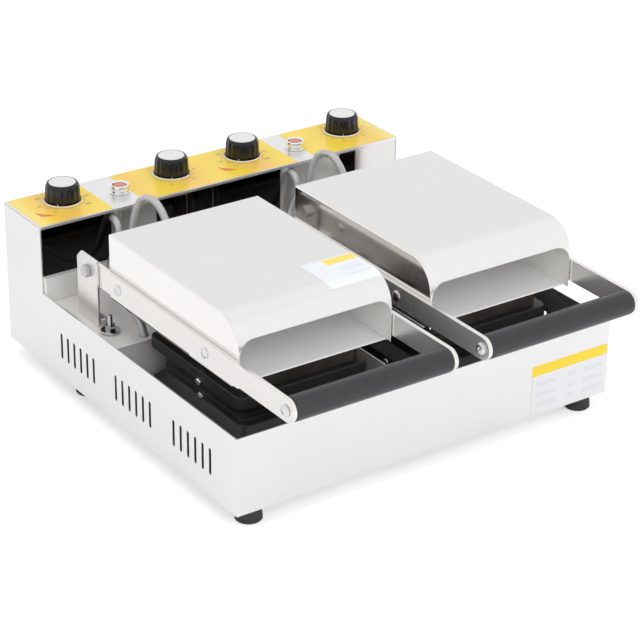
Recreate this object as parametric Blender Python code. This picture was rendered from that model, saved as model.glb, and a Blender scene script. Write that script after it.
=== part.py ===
"""Twin-head sandwich press: steel housing with a control box along its back, two hinged lids.

Metres, +Z up, +Y to the back. The origin is under the middle of the bounding box, on the table.
"""

import math

import bmesh
import bpy
from mathutils import Matrix, Vector

# Sheet, gaps and cuts
SHEET = 0.0015
GAP = 0.0003
RUN_CLEARANCE = 0.0005
OVERRUN = 0.004

# Housing
HEAD_MARGIN = 0.02825
HEAD_SPACING = 0.0505
FRONT_HEIGHT = 0.092
CONTROL_HEIGHT = 0.175
CONTROL_DEPTH = 0.086
TOP_LIP = 0.0035
SILL_HEIGHT = 0.030
SILL_DEPTH = 0.006

# Vent slots in each side
SLOT_WIDTH = 0.0045
SLOT_LENGTH = 0.032
SLOT_END_ROUND = 0.0022
SLOT_PITCH = 0.0146
SLOT_GROUP = 6
SLOT_GROUP_PITCH = 0.122
SLOT_FIRST_GROUP_Y = 0.088
SLOT_HEIGHT = 0.042
SLOT_GROUPS = 3

# Feet
FOOT_RADIUS = 0.015
FOOT_TOP_RADIUS = 0.013
FOOT_HEIGHT = 0.018
FOOT_INSET_X = 0.026
FOOT_FRONT_Y = 0.018
FOOT_REAR_SETBACK = 0.140

# Mould bay and deck, heights above the housing's underside
BAY_DEPTH = 0.262
BAY_FLOOR = 0.022
HEM_WIDTH = 0.004
DIVIDER_HEIGHT = 0.070
DECK_HEIGHT = 0.082
DECK_DEPTH = 0.148

# Heads
COVER_WIDTH = 0.1965
COVER_SHEET = 0.0012
COVER_TOP = 0.200
COVER_FRONT_Y = 0.041
COVER_REAR_OVERHANG = 0.040
COVER_ROLL = 0.036
NOTCH_HEIGHT = 0.176
NOTCH_LEG = 0.002
NOTCH_RADIUS = 0.018
PLATE_TOP = 0.124
PLATE_THICKNESS = 0.002
PLATE_FRONT_Y = 0.052
PLATE_FLANGE_HEIGHT = 0.040

# Castings
PARTING_HEIGHT = 0.065
CAST_SIDE_MARGIN = 0.0145
CAST_REAR_MARGIN = 0.016
CAST_FRONT_Y = 0.060
CAST_RADIUS = 0.009
CAST_WAIST_INSET = 0.011
CAST_SLOPE = 0.011
CAST_RIM = 0.008
CAST_FLANGE = 0.014
POCKET_MARGIN = 0.010
POCKET_DEPTH = 0.012
POCKET_DRAFT = 0.005
POCKET_RIDGE = 0.010
HEATER_INSET = 0.008

# Arms, hinge and handle
ARM_THICKNESS = 0.005
ARM_HEIGHT = 0.026
HINGE_SETBACK = 0.076
HINGE_HEIGHT = 0.1445
GRIP_Y = -0.056
GRIP_RADIUS = 0.0138
GRIP_END_ROUND = 0.0015
ROD_RADIUS = 0.003
ROD_HEAD_RADIUS = 0.0068
ROD_HEAD_HEIGHT = 0.003
BRACKET_THICKNESS = 0.0025
BRACKET_FRONT_LEAD = 0.021
BRACKET_WIDTH = 0.045
BRACKET_TOP_MARGIN = 0.0185
BRACKET_CHAMFER = 0.009
BRACKET_FOOT = 0.015
BOLT_RADIUS = 0.004
BOLT_HEAD_RADIUS = 0.0075
BOLT_HEAD_HEIGHT = 0.005
BOLT_NUT_HEIGHT = 0.005
STUD_SETBACK = 0.038
STUD_WASHER_RADIUS = 0.0115
STUD_WASHER_HEIGHT = 0.003
STUD_NUT_RADIUS = 0.0065
STUD_NUT_HEIGHT = 0.006
STUD_RADIUS = 0.003
STUD_THREAD_LENGTH = 0.0117

# Controls on the top panel
LAMP_ROW_SETBACK = 0.038
KNOB_ROW_SETBACK = 0.0496
KNOB_INSET = 0.02475
KNOB_SHIFT = 0.0045
KNOB_SKIRT_RADIUS = 0.0225
KNOB_SKIRT_HEIGHT = 0.003
KNOB_RADIUS = 0.0205
KNOB_TOP_RADIUS = 0.0180
KNOB_HEIGHT = 0.0245
KNOB_CHAMFER = 0.0015
KNOB_BORE_DEPTH = 0.016
SHAFT_RADIUS = 0.003
BUSH_RADIUS = 0.005
SWITCH_WIDTH = 0.038
SWITCH_HEIGHT = 0.030
LAMP_RADIUS = 0.0122
LAMP_BARREL_RADIUS = 0.0085
LAMP_BEZEL_HEIGHT = 0.007
LAMP_LENS_RADIUS = 0.0080
LAMP_LENS_HEIGHT = 0.0105
LAMP_DEPTH = 0.022

# Conduits and cord entry; each X is from the middle of its head
CONDUIT_RADIUS = 0.0045
CONDUIT_HOLE_RADIUS = 0.0055
LOWER_EXIT_X = -0.032
LOWER_EXIT_DROP = 0.0115
LOWER_EXIT_RUN = 0.0125
LOWER_FALL_X = -0.047
LOWER_FALL_RISE = 0.037
LOWER_BEND_X = -0.065
LOWER_BEND_LEAD = 0.050
LOWER_BEND_RISE = 0.016
LOWER_CREST_X = -0.067
LOWER_CREST_SETBACK = 0.050
LOWER_CREST_RISE = 0.012
LOWER_HOLE_X = -0.074
LOWER_HOLE_SETBACK = 0.010
HOLE_DROP = 0.010
LID_HOLE_X = -0.0245
LID_HOLE_LEAD = 0.021
LOOP_X = -0.001
LOOP_LEAD = 0.038
LOOP_RISE = 0.111
LID_ENTRY_X = 0.004
LID_ENTRY_RISE = 0.022
LID_ENTRY_RUN = 0.010
GLAND_RADIUS = 0.011
GLAND_BARREL_RADIUS = 0.008
GLAND_OUT = 0.012
GLAND_IN = 0.010
GLAND_BORE = 0.004
GLAND_X = 0.190
GLAND_HEIGHT = 0.045

# Facets
ROUND_STEPS = 24
SMALL_STEPS = 12
ARC_STEPS = 6
CORNER_STEPS = 3

# Places that follow from the sizes
HEAD_PITCH = COVER_WIDTH + HEAD_SPACING
HOUSING_WIDTH = HEAD_PITCH + COVER_WIDTH + 2 * HEAD_MARGIN
HOUSING_DEPTH = BAY_DEPTH + DECK_DEPTH + CONTROL_DEPTH
HALF_WIDTH = HOUSING_WIDTH / 2
GRIP_REACH = GRIP_RADIUS - GRIP_Y
FRONT_Y = GRIP_REACH - (GRIP_REACH + HOUSING_DEPTH + GLAND_OUT) / 2
CONTROL_Y = HOUSING_DEPTH - CONTROL_DEPTH
LAMP_ROW_Y = CONTROL_Y + LAMP_ROW_SETBACK
KNOB_ROW_Y = CONTROL_Y + KNOB_ROW_SETBACK
FOOT_REAR_Y = HOUSING_DEPTH - FOOT_REAR_SETBACK
COVER_REAR_Y = BAY_DEPTH + COVER_REAR_OVERHANG
HINGE_Y = BAY_DEPTH + HINGE_SETBACK
STUD_Y = BAY_DEPTH + STUD_SETBACK
CAST_WIDTH = COVER_WIDTH - 2 * CAST_SIDE_MARGIN
CAST_DEPTH = BAY_DEPTH - CAST_FRONT_Y - CAST_REAR_MARGIN
KNOB_OFFSET = COVER_WIDTH / 2 - KNOB_INSET
LOWER_EXIT_HEIGHT = CONTROL_HEIGHT - LOWER_EXIT_DROP
LOWER_HOLE_Y = BAY_DEPTH + LOWER_HOLE_SETBACK
LID_HOLE_Y = CONTROL_Y - LID_HOLE_LEAD
LOOP_Y = CONTROL_Y - LOOP_LEAD
LOOP_TOP = DECK_HEIGHT + LOOP_RISE
LID_ENTRY_HEIGHT = PLATE_TOP + LID_ENTRY_RISE
HALF_COVER = COVER_WIDTH / 2
ARM_INNER_X = HALF_COVER + GAP
ARM_OUTER_X = ARM_INNER_X + ARM_THICKNESS
BRACKET_INNER_X = ARM_OUTER_X + GAP
BRACKET_OUTER_X = BRACKET_INNER_X + BRACKET_THICKNESS
PLATE_BOTTOM = PLATE_TOP - PLATE_THICKNESS
UPPER_FLANGE_TOP = PARTING_HEIGHT + CAST_RIM + CAST_SLOPE + CAST_FLANGE
LOWER_CAST_BOTTOM = PARTING_HEIGHT - CAST_RIM - CAST_SLOPE - CAST_FLANGE
CAST_MIDDLE_Y = CAST_FRONT_Y + CAST_DEPTH / 2
HEAD_CENTRES = {"left": -HEAD_PITCH / 2, "right": HEAD_PITCH / 2}


def at(y):
    """Depth behind the front panel, as a Y of the part."""
    return FRONT_Y + y


def up(height):
    """Height above the housing's underside, as a Z of the part."""
    return FOOT_HEIGHT + height


def material(name, colour, metallic, roughness):
    made = bpy.data.materials.new(name)
    made.use_nodes = True
    shader = made.node_tree.nodes["Principled BSDF"]
    shader.inputs["Base Color"].default_value = (*colour, 1.0)
    shader.inputs["Metallic"].default_value = metallic
    shader.inputs["Roughness"].default_value = roughness
    return made


def mesh_of(name, bm):
    bmesh.ops.recalc_face_normals(bm, faces=bm.faces)
    mesh = bpy.data.meshes.new(name)
    bm.to_mesh(mesh)
    bm.free()
    return mesh


def place(name, mesh, look, location=(0, 0, 0), parent=None, smooth=False):
    """A node: the mesh with its material, at its place, under its hinge where it has one."""
    obj = bpy.data.objects.new(name, mesh)
    bpy.context.scene.collection.objects.link(obj)
    obj.location = location
    obj.parent = parent
    mesh.materials.clear()
    mesh.materials.append(look)
    if smooth:
        mesh.shade_smooth()
        mesh.set_sharp_from_angle(angle=math.radians(40))
    return obj


def prism(outline, start, end, axis):
    """A flat outline pushed along an axis: (y, z) along X, (x, z) along Y, (x, y) along Z."""
    order = {"X": (2, 0, 1), "Y": (0, 2, 1), "Z": (0, 1, 2)}[axis]
    bm = bmesh.new()
    corners = []
    for first, second in outline:
        values = (first, second, start)
        corners.append(bm.verts.new([values[index] for index in order]))
    face = bm.faces.new(corners)
    pushed = bmesh.ops.extrude_face_region(bm, geom=[face])
    moved = [item for item in pushed["geom"] if isinstance(item, bmesh.types.BMVert)]
    shift = Vector((0, 0, 0))
    shift["XYZ".index(axis)] = end - start
    bmesh.ops.translate(bm, verts=moved, vec=shift)
    return bm


def block(x0, x1, y0, y1, z0, z1):
    return prism([(x0, y0), (x1, y0), (x1, y1), (x0, y1)], z0, z1, "Z")


def turned(profile, steps, axis="Z"):
    """A profile of (radius, height) from pole to pole, spun about its axis."""
    bm = bmesh.new()
    points = [bm.verts.new((radius, 0, height)) for radius, height in profile]
    edges = [bm.edges.new(pair) for pair in zip(points, points[1:])]
    bmesh.ops.spin(bm, geom=points + edges, cent=(0, 0, 0), axis=(0, 0, 1),
                   angle=math.tau, steps=steps, use_merge=True)
    bmesh.ops.remove_doubles(bm, verts=bm.verts, dist=GAP / 10)
    turns = {"X": Matrix.Rotation(math.pi / 2, 3, "Y"),
             "Y": Matrix.Rotation(-math.pi / 2, 3, "X"),
             "Z": Matrix.Identity(3)}
    bmesh.ops.rotate(bm, verts=bm.verts, cent=(0, 0, 0), matrix=turns[axis])
    return bm


def rod(radius, start, end, steps, axis="Z"):
    return turned([(0, start), (radius, start), (radius, end), (0, end)], steps, axis)


def moved(bm, x, y, z):
    bmesh.ops.translate(bm, verts=bm.verts, vec=(x, y, z))
    return bm


def rounded(width, depth, radius, steps=CORNER_STEPS):
    """A rectangle with round corners about the origin, anticlockwise."""
    points = []
    corners = ((1, 1), (-1, 1), (-1, -1), (1, -1))
    for number, (side_x, side_y) in enumerate(corners):
        for step in range(steps + 1):
            angle = (number + step / steps) * math.pi / 2
            points.append((side_x * (width / 2 - radius) + radius * math.cos(angle),
                           side_y * (depth / 2 - radius) + radius * math.sin(angle)))
    return points


def stack(levels):
    """Rings of equal count, one above another, joined into a closed body."""
    bm = bmesh.new()
    rings = [[bm.verts.new((x, y, z)) for x, y in ring] for ring, z in levels]
    for low, high in zip(rings, rings[1:]):
        for index in range(len(low)):
            following = (index + 1) % len(low)
            bm.faces.new((low[index], low[following], high[following], high[index]))
    bm.faces.new(rings[0])
    bm.faces.new(rings[-1])
    return bm


def combined(name, base, joins=(), cuts=()):
    """The base body with others joined to it or cut from it, as one mesh."""
    solid = bpy.data.objects.new(name, mesh_of(name, base))
    helpers = []
    for operation, bodies in (("UNION", joins), ("DIFFERENCE", cuts)):
        for number, body in enumerate(bodies):
            helper = bpy.data.objects.new(f"{name}_{operation.lower()}_{number}",
                                          mesh_of(name, body))
            helper.hide_render = True
            helper.display_type = "WIRE"
            helpers.append(helper)
            change = solid.modifiers.new(operation.title(), "BOOLEAN")
            change.operation = operation
            change.solver = "EXACT"
            change.object = helper
    for obj in [solid, *helpers]:
        bpy.context.scene.collection.objects.link(obj)
    graph = bpy.context.evaluated_depsgraph_get()
    mesh = bpy.data.meshes.new_from_object(solid.evaluated_get(graph))
    mesh.name = name
    for obj in [solid, *helpers]:
        bpy.data.objects.remove(obj)
    return mesh


def gathered(bodies):
    """Bodies that don't touch, as one cutter."""
    whole = bmesh.new()
    for body in bodies:
        piece = mesh_of("cut", body)
        whole.from_mesh(piece)
        bpy.data.meshes.remove(piece)
    return whole


def add_housing(looks):
    top = CONTROL_HEIGHT - SHEET - GAP
    side = [(at(0), up(0)), (at(HOUSING_DEPTH), up(0)), (at(HOUSING_DEPTH), up(top)),
            (at(CONTROL_Y), up(top)), (at(CONTROL_Y), up(FRONT_HEIGHT)),
            (at(0), up(FRONT_HEIGHT))]
    front = block(-HALF_WIDTH, HALF_WIDTH, at(0), at(SHEET), up(0), up(FRONT_HEIGHT))
    left = prism(side, -HALF_WIDTH, SHEET - HALF_WIDTH, "X")
    right = prism(side, HALF_WIDTH - SHEET, HALF_WIDTH, "X")
    slots = []
    for group in range(SLOT_GROUPS):
        for number in range(SLOT_GROUP):
            y = SLOT_FIRST_GROUP_Y + group * SLOT_GROUP_PITCH
            y += (number - (SLOT_GROUP - 1) / 2) * SLOT_PITCH
            outline = rounded(SLOT_WIDTH, SLOT_LENGTH, SLOT_END_ROUND, 2)
            place_y, place_z = at(y), up(SLOT_HEIGHT)
            shape = [(place_y + across, place_z + along) for across, along in outline]
            for edge in (-HALF_WIDTH, HALF_WIDTH - SHEET):
                slots.append(prism(shape, edge - OVERRUN, edge + SHEET + OVERRUN, "X"))
    wrap = combined("housing_wrap", front, [left, right], [gathered(slots)])
    place("housing_wrap", wrap, looks["steel"])

    inner_x = HALF_WIDTH - SHEET - GAP
    rear = HOUSING_DEPTH - SHEET - GAP
    bottom = block(-inner_x, inner_x, at(SHEET + GAP), at(rear), up(0), up(SHEET))
    place("bottom_plate", mesh_of("bottom_plate", bottom), looks["galvanised"])

    cover = block(-inner_x, inner_x, at(HOUSING_DEPTH - SHEET), at(HOUSING_DEPTH), up(0), up(top))
    hole = moved(rod(GLAND_BARREL_RADIUS + GAP, -OVERRUN, SHEET + OVERRUN, ROUND_STEPS, "Y"),
                 GLAND_X, at(HOUSING_DEPTH - SHEET), up(GLAND_HEIGHT))
    place("rear_cover", combined("rear_cover", cover, cuts=[hole]), looks["steel"])


def add_feet(looks):
    profile = [(0, 0), (FOOT_RADIUS, 0), (FOOT_TOP_RADIUS, FOOT_HEIGHT - GAP),
               (0, FOOT_HEIGHT - GAP)]
    mesh = mesh_of("foot", turned(profile, ROUND_STEPS))
    for side, sign in (("left", -1), ("right", 1)):
        for end, y in (("front", FOOT_FRONT_Y), ("rear", FOOT_REAR_Y)):
            place(f"foot_{end}_{side}", mesh, looks["rubber"],
                  (sign * (HALF_WIDTH - FOOT_INSET_X), at(y), 0), smooth=True)


def control_places():
    """The X of each knob and lamp on the top panel, by name."""
    knobs, lamps = {}, {}
    for side, centre in HEAD_CENTRES.items():
        knobs[f"thermostat_{side}"] = centre + KNOB_SHIFT - KNOB_OFFSET
        knobs[f"timer_{side}"] = centre + KNOB_SHIFT + KNOB_OFFSET
        lamps[side] = centre
    return knobs, lamps


def add_control_box(looks):
    knobs, lamps = control_places()
    low = CONTROL_HEIGHT - SHEET
    lip = CONTROL_Y - SHEET - GAP
    outline = [(at(lip), up(low + SHEET - TOP_LIP)), (at(lip + SHEET), up(low + SHEET - TOP_LIP)),
               (at(lip + SHEET), up(low)), (at(HOUSING_DEPTH), up(low)),
               (at(HOUSING_DEPTH), up(low + SHEET)), (at(lip), up(low + SHEET))]
    cuts = []
    for places, row, radius in ((knobs, KNOB_ROW_Y, BUSH_RADIUS),
                                (lamps, LAMP_ROW_Y, LAMP_BARREL_RADIUS)):
        for x in places.values():
            hole = rod(radius + GAP, -OVERRUN, SHEET + OVERRUN, ROUND_STEPS)
            cuts.append(moved(hole, x, at(row), up(low)))
    panel = prism(outline, -HALF_WIDTH, HALF_WIDTH, "X")
    place("control_top_panel", combined("control_top_panel", panel, cuts=[gathered(cuts)]),
          looks["steel"])

    foot = DECK_HEIGHT + GAP
    sill = CONTROL_Y - SILL_DEPTH
    outline = [(at(sill), up(foot)), (at(CONTROL_Y + SHEET), up(foot)),
               (at(CONTROL_Y + SHEET), up(low - GAP)), (at(CONTROL_Y), up(low - GAP)),
               (at(CONTROL_Y), up(foot + SILL_HEIGHT)), (at(sill), up(foot + SILL_HEIGHT))]
    inner_x = HALF_WIDTH - SHEET - GAP
    front = prism(outline, -inner_x, inner_x, "X")
    holes = []
    for centre in HEAD_CENTRES.values():
        hole = rod(CONDUIT_HOLE_RADIUS, -OVERRUN, SHEET + OVERRUN, SMALL_STEPS, "Y")
        holes.append(moved(hole, centre + LOWER_EXIT_X, at(CONTROL_Y), up(LOWER_EXIT_HEIGHT)))
    place("control_front_panel", combined("control_front_panel", front, cuts=[gathered(holes)]),
          looks["dark_steel"])


def add_deck_and_bay(looks):
    inner_x = HALF_WIDTH - SHEET - GAP
    deck = block(-inner_x, inner_x, at(BAY_DEPTH + GAP), at(CONTROL_Y + SHEET),
                 up(DECK_HEIGHT - SHEET), up(DECK_HEIGHT))
    holes = []
    for centre in HEAD_CENTRES.values():
        for x, y in ((LOWER_HOLE_X, LOWER_HOLE_Y), (LID_HOLE_X, LID_HOLE_Y)):
            hole = rod(CONDUIT_HOLE_RADIUS, -OVERRUN, SHEET + OVERRUN, SMALL_STEPS)
            holes.append(moved(hole, centre + x, at(y), up(DECK_HEIGHT - SHEET)))
    place("hinge_deck", combined("hinge_deck", deck, cuts=[gathered(holes)]), looks["steel"])

    near = SHEET + GAP
    floor = block(-inner_x, inner_x, at(near), at(BAY_DEPTH), up(BAY_FLOOR - SHEET), up(BAY_FLOOR))
    wall = block(-inner_x, inner_x, at(BAY_DEPTH - SHEET), at(BAY_DEPTH),
                 up(BAY_FLOOR - SHEET), up(DECK_HEIGHT + SHEET))
    hem = block(-inner_x, inner_x, at(BAY_DEPTH - HEM_WIDTH), at(BAY_DEPTH),
                up(DECK_HEIGHT), up(DECK_HEIGHT + SHEET))
    divider = block(-SHEET / 2, SHEET / 2, at(near), at(BAY_DEPTH - SHEET / 2),
                    up(BAY_FLOOR - SHEET / 2), up(DIVIDER_HEIGHT))
    liner = combined("mould_bay_liner", floor, [wall, hem, divider])
    place("mould_bay_liner", liner, looks["steel"])


def cast_body(sign):
    """One casting about its own centre, its parting face at zero, growing along sign."""
    waist = (CAST_WIDTH - 2 * CAST_WAIST_INSET, CAST_DEPTH - 2 * CAST_WAIST_INSET)
    full = (CAST_WIDTH, CAST_DEPTH)
    heights = (0, CAST_RIM, CAST_RIM + CAST_SLOPE, CAST_RIM + CAST_SLOPE + CAST_FLANGE)
    levels = []
    for (width, depth), height in zip((waist, waist, full, full), heights):
        levels.append((rounded(width, depth, CAST_RADIUS), sign * height))
    return stack(levels)


def pocket(sign, corner):
    """A three-cornered food pocket beside the diagonal ridge, sloping in towards its floor."""
    half_x = CAST_WIDTH / 2 - CAST_WAIST_INSET - POCKET_MARGIN
    half_y = CAST_DEPTH / 2 - CAST_WAIST_INSET - POCKET_MARGIN
    levels = []
    for inset, height in ((-POCKET_DRAFT * OVERRUN / POCKET_DEPTH, -OVERRUN),
                          (POCKET_DRAFT, POCKET_DEPTH)):
        near = POCKET_RIDGE + inset * (1 + math.sqrt(2))
        x, y = half_x - inset, half_y - inset
        ring = [(corner * x, corner * y), (corner * (near - x), corner * y),
                (corner * x, corner * (near - y))]
        levels.append((ring, sign * height))
    return stack(levels)


def add_lower_moulds(looks):
    cuts = [pocket(-1, 1), pocket(-1, -1)]
    mould = combined("lower_mould", cast_body(-1), cuts=[gathered(cuts)])
    top = LOWER_CAST_BOTTOM - GAP
    width = CAST_WIDTH - 2 * HEATER_INSET
    depth = CAST_DEPTH - 2 * HEATER_INSET
    ring = rounded(width, depth, CAST_RADIUS)
    heater = mesh_of("lower_heater", prism(ring, up(BAY_FLOOR + GAP), up(top), "Z"))
    for side, centre in HEAD_CENTRES.items():
        place(f"lower_mould_{side}", mould, looks["casting"],
              (centre, at(CAST_MIDDLE_Y), up(PARTING_HEIGHT)))
        place(f"lower_heater_{side}", heater, looks["black_steel"], (centre, at(CAST_MIDDLE_Y), 0))


def bracket_mesh():
    """The left-hand bracket about the hinge axis; its plate is outside the arm."""
    front = -BRACKET_FRONT_LEAD
    rear = front + BRACKET_WIDTH
    top = BRACKET_TOP_MARGIN
    low = DECK_HEIGHT + GAP - HINGE_HEIGHT
    outline = [(front, low), (rear, low), (rear, top - BRACKET_CHAMFER),
               (rear - BRACKET_CHAMFER, top), (front, top)]
    plate = prism(outline, -BRACKET_OUTER_X, -BRACKET_INNER_X, "X")
    foot = block(-BRACKET_OUTER_X, BRACKET_FOOT - BRACKET_INNER_X, front, rear,
                 low, low + BRACKET_THICKNESS)
    hole = moved(rod(BOLT_RADIUS + GAP, -OVERRUN, BRACKET_THICKNESS + OVERRUN, ROUND_STEPS, "X"),
                 -BRACKET_OUTER_X, 0, 0)
    return combined("hinge_bracket", plate, [foot], [hole])


def bolt_mesh():
    """The left-hand pivot bolt: hex head outside the bracket, shank through the arm, a nut inside."""
    head = -BRACKET_OUTER_X - GAP
    end = -ARM_INNER_X + GAP + BOLT_NUT_HEIGHT
    hexagon = [(math.cos(turn * math.pi / 3), math.sin(turn * math.pi / 3)) for turn in range(6)]
    outline = [(BOLT_HEAD_RADIUS * a, BOLT_HEAD_RADIUS * b) for a, b in hexagon]
    cap = prism(outline, head - BOLT_HEAD_HEIGHT, head, "X")
    shank = rod(BOLT_RADIUS, head - BOLT_HEAD_HEIGHT / 2, end, ROUND_STEPS, "X")
    nut = prism(outline, end - BOLT_NUT_HEIGHT, end, "X")
    return combined("pivot_bolt", cap, [shank, nut])


def mirrored(mesh, name):
    copy = mesh.copy()
    copy.name = name
    copy.transform(Matrix.Scale(-1, 4, (1, 0, 0)))
    copy.flip_normals()
    return copy


def add_hinges(looks):
    bracket = {"left": bracket_mesh()}
    bolt = {"left": bolt_mesh()}
    bracket["right"] = mirrored(bracket["left"], "hinge_bracket_mirrored")
    bolt["right"] = mirrored(bolt["left"], "pivot_bolt_mirrored")
    for side, centre in HEAD_CENTRES.items():
        axis = (centre, at(HINGE_Y), up(HINGE_HEIGHT))
        for hand in ("left", "right"):
            place(f"hinge_bracket_{side}_{hand}", bracket[hand], looks["steel"], axis)
            place(f"pivot_bolt_{side}_{hand}", bolt[hand], looks["bright_steel"], axis)


def add_studs(looks):
    low = DECK_HEIGHT + GAP
    washer = low + STUD_WASHER_HEIGHT
    nut = washer + STUD_NUT_HEIGHT
    tip = nut + STUD_THREAD_LENGTH
    profile = [(0, low), (STUD_WASHER_RADIUS, low), (STUD_WASHER_RADIUS, washer),
               (STUD_NUT_RADIUS, washer), (STUD_NUT_RADIUS, nut), (STUD_RADIUS, nut),
               (STUD_RADIUS, tip), (0, tip)]
    mesh = mesh_of("deck_stud", turned(profile, SMALL_STEPS))
    x = ARM_OUTER_X - ARM_THICKNESS / 2
    for side, centre in HEAD_CENTRES.items():
        place(f"deck_stud_{side}", mesh, looks["bright_steel"],
              (centre - x, at(STUD_Y), up(0)), smooth=True)


def cover_outline(inset, low, rear):
    """Side view of the cover about the hinge axis: flat top, round front roll, straight face."""
    front = COVER_FRONT_Y + inset - HINGE_Y
    top = COVER_TOP - inset - HINGE_HEIGHT
    radius = COVER_ROLL - inset
    points = [(rear, low), (rear, top)]
    for step in range(ARC_STEPS + 1):
        angle = math.pi / 2 * (1 + step / ARC_STEPS)
        points.append((front + radius + radius * math.cos(angle),
                       top - radius + radius * math.sin(angle)))
    points.append((front, low))
    return points


def cover_mesh():
    low = PLATE_TOP + GAP - HINGE_HEIGHT
    rear = COVER_REAR_Y - HINGE_Y
    shell = prism(cover_outline(0, low, rear), -HALF_COVER, HALF_COVER, "X")
    inner = HALF_COVER - COVER_SHEET
    hollow = prism(cover_outline(COVER_SHEET, low - OVERRUN, rear + OVERRUN), -inner, inner, "X")
    width = COVER_WIDTH - 2 * NOTCH_LEG
    top = NOTCH_HEIGHT - HINGE_HEIGHT
    height = 2 * (top - low + OVERRUN)
    outline = [(x, z + top - height / 2) for x, z in rounded(width, height, NOTCH_RADIUS, ARC_STEPS)]
    front = COVER_FRONT_Y - HINGE_Y
    notch = prism(outline, front - OVERRUN, front + COVER_SHEET + OVERRUN, "Y")
    return combined("lid_cover", shell, cuts=[hollow, notch])


def plate_mesh():
    """The lid's base plate, with the upright flange at the back that closes the cover."""
    inner = HALF_COVER - COVER_SHEET - GAP
    low, top = PLATE_BOTTOM - HINGE_HEIGHT, PLATE_TOP - HINGE_HEIGHT
    front, rear = PLATE_FRONT_Y - HINGE_Y, COVER_REAR_Y - HINGE_Y
    plate = block(-HALF_COVER, HALF_COVER, front, rear, low, top)
    flange = block(-inner, inner, rear - PLATE_THICKNESS, rear, low + PLATE_THICKNESS / 2,
                   top + PLATE_FLANGE_HEIGHT)
    hole = rod(CONDUIT_HOLE_RADIUS, -OVERRUN, PLATE_THICKNESS + OVERRUN, SMALL_STEPS, "Y")
    hole = moved(hole, LID_ENTRY_X, rear - PLATE_THICKNESS, LID_ENTRY_HEIGHT - HINGE_HEIGHT)
    return combined("head_plate", plate, [flange], [hole])


def arm_mesh():
    """The left-hand arm about the hinge axis, round at both ends."""
    half = ARM_HEIGHT / 2
    front = GRIP_Y - HINGE_Y
    outline = []
    for step in range(2 * ARC_STEPS + 1):
        angle = math.pi / 2 * (1 + step / ARC_STEPS)
        outline.append((front + half * math.cos(angle), half * math.sin(angle)))
    for step in range(2 * ARC_STEPS + 1):
        angle = math.pi / 2 * (3 + step / ARC_STEPS)
        outline.append((half * math.cos(angle), half * math.sin(angle)))
    arm = prism(outline, -ARM_OUTER_X, -ARM_INNER_X, "X")
    cuts = []
    for radius, y in ((BOLT_RADIUS + GAP, 0), (ROD_RADIUS + GAP, front)):
        hole = rod(radius, -OVERRUN, ARM_THICKNESS + OVERRUN, ROUND_STEPS, "X")
        cuts.append(moved(hole, -ARM_OUTER_X, y, 0))
    return combined("arm", arm, cuts=[gathered(cuts)])


def handle_meshes():
    end = ARM_INNER_X - GAP
    soft = end - GRIP_END_ROUND
    bore = ROD_RADIUS + GAP
    profile = [(bore, -end), (GRIP_RADIUS - GRIP_END_ROUND, -end), (GRIP_RADIUS, -soft),
               (GRIP_RADIUS, soft), (GRIP_RADIUS - GRIP_END_ROUND, end), (bore, end), (bore, -end)]
    grip = mesh_of("grip", turned(profile, ROUND_STEPS, "X"))
    seat = ARM_OUTER_X + GAP
    tip = seat + ROD_HEAD_HEIGHT
    dome = ROD_HEAD_RADIUS - ROD_HEAD_HEIGHT / 2
    profile = [(0, -tip), (dome, -tip), (ROD_HEAD_RADIUS, -seat - ROD_HEAD_HEIGHT / 2),
               (ROD_HEAD_RADIUS, -seat), (ROD_RADIUS, -seat), (ROD_RADIUS, seat),
               (ROD_HEAD_RADIUS, seat), (ROD_HEAD_RADIUS, seat + ROD_HEAD_HEIGHT / 2),
               (dome, tip), (0, tip)]
    return grip, mesh_of("handle_rod", turned(profile, ROUND_STEPS, "X"))


def add_lids(looks):
    cast_y = CAST_MIDDLE_Y - HINGE_Y
    cuts = [pocket(1, 1), pocket(1, -1)]
    mould = combined("upper_mould", cast_body(1), cuts=[gathered(cuts)])
    low = UPPER_FLANGE_TOP + 2 * GAP - HINGE_HEIGHT
    ring = rounded(CAST_WIDTH - 2 * HEATER_INSET, CAST_DEPTH - 2 * HEATER_INSET, CAST_RADIUS)
    heater = mesh_of("upper_heater", prism(ring, low, PLATE_BOTTOM - GAP - HINGE_HEIGHT, "Z"))
    cover, plate, arm = cover_mesh(), plate_mesh(), {"left": arm_mesh()}
    arm["right"] = mirrored(arm["left"], "arm_mirrored")
    grip, through = handle_meshes()
    for side, centre in HEAD_CENTRES.items():
        hinge = bpy.data.objects.new(f"lid_{side}_hinge_axis", None)
        bpy.context.scene.collection.objects.link(hinge)
        hinge.location = (centre, at(HINGE_Y), up(HINGE_HEIGHT))
        place(f"lid_cover_{side}", cover, looks["steel"], parent=hinge)
        place(f"head_plate_{side}", plate, looks["steel"], parent=hinge)
        place(f"upper_heater_{side}", heater, looks["black_steel"], (0, cast_y, 0), hinge)
        place(f"upper_mould_{side}", mould, looks["casting"],
              (0, cast_y, PARTING_HEIGHT + GAP - HINGE_HEIGHT), hinge)
        for hand in ("left", "right"):
            place(f"arm_{side}_{hand}", arm[hand], looks["steel"], parent=hinge)
        place(f"grip_{side}", grip, looks["grip"], (0, GRIP_Y - HINGE_Y, 0), hinge, smooth=True)
        place(f"handle_rod_{side}", through, looks["bright_steel"],
              (0, GRIP_Y - HINGE_Y, 0), hinge, smooth=True)


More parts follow.
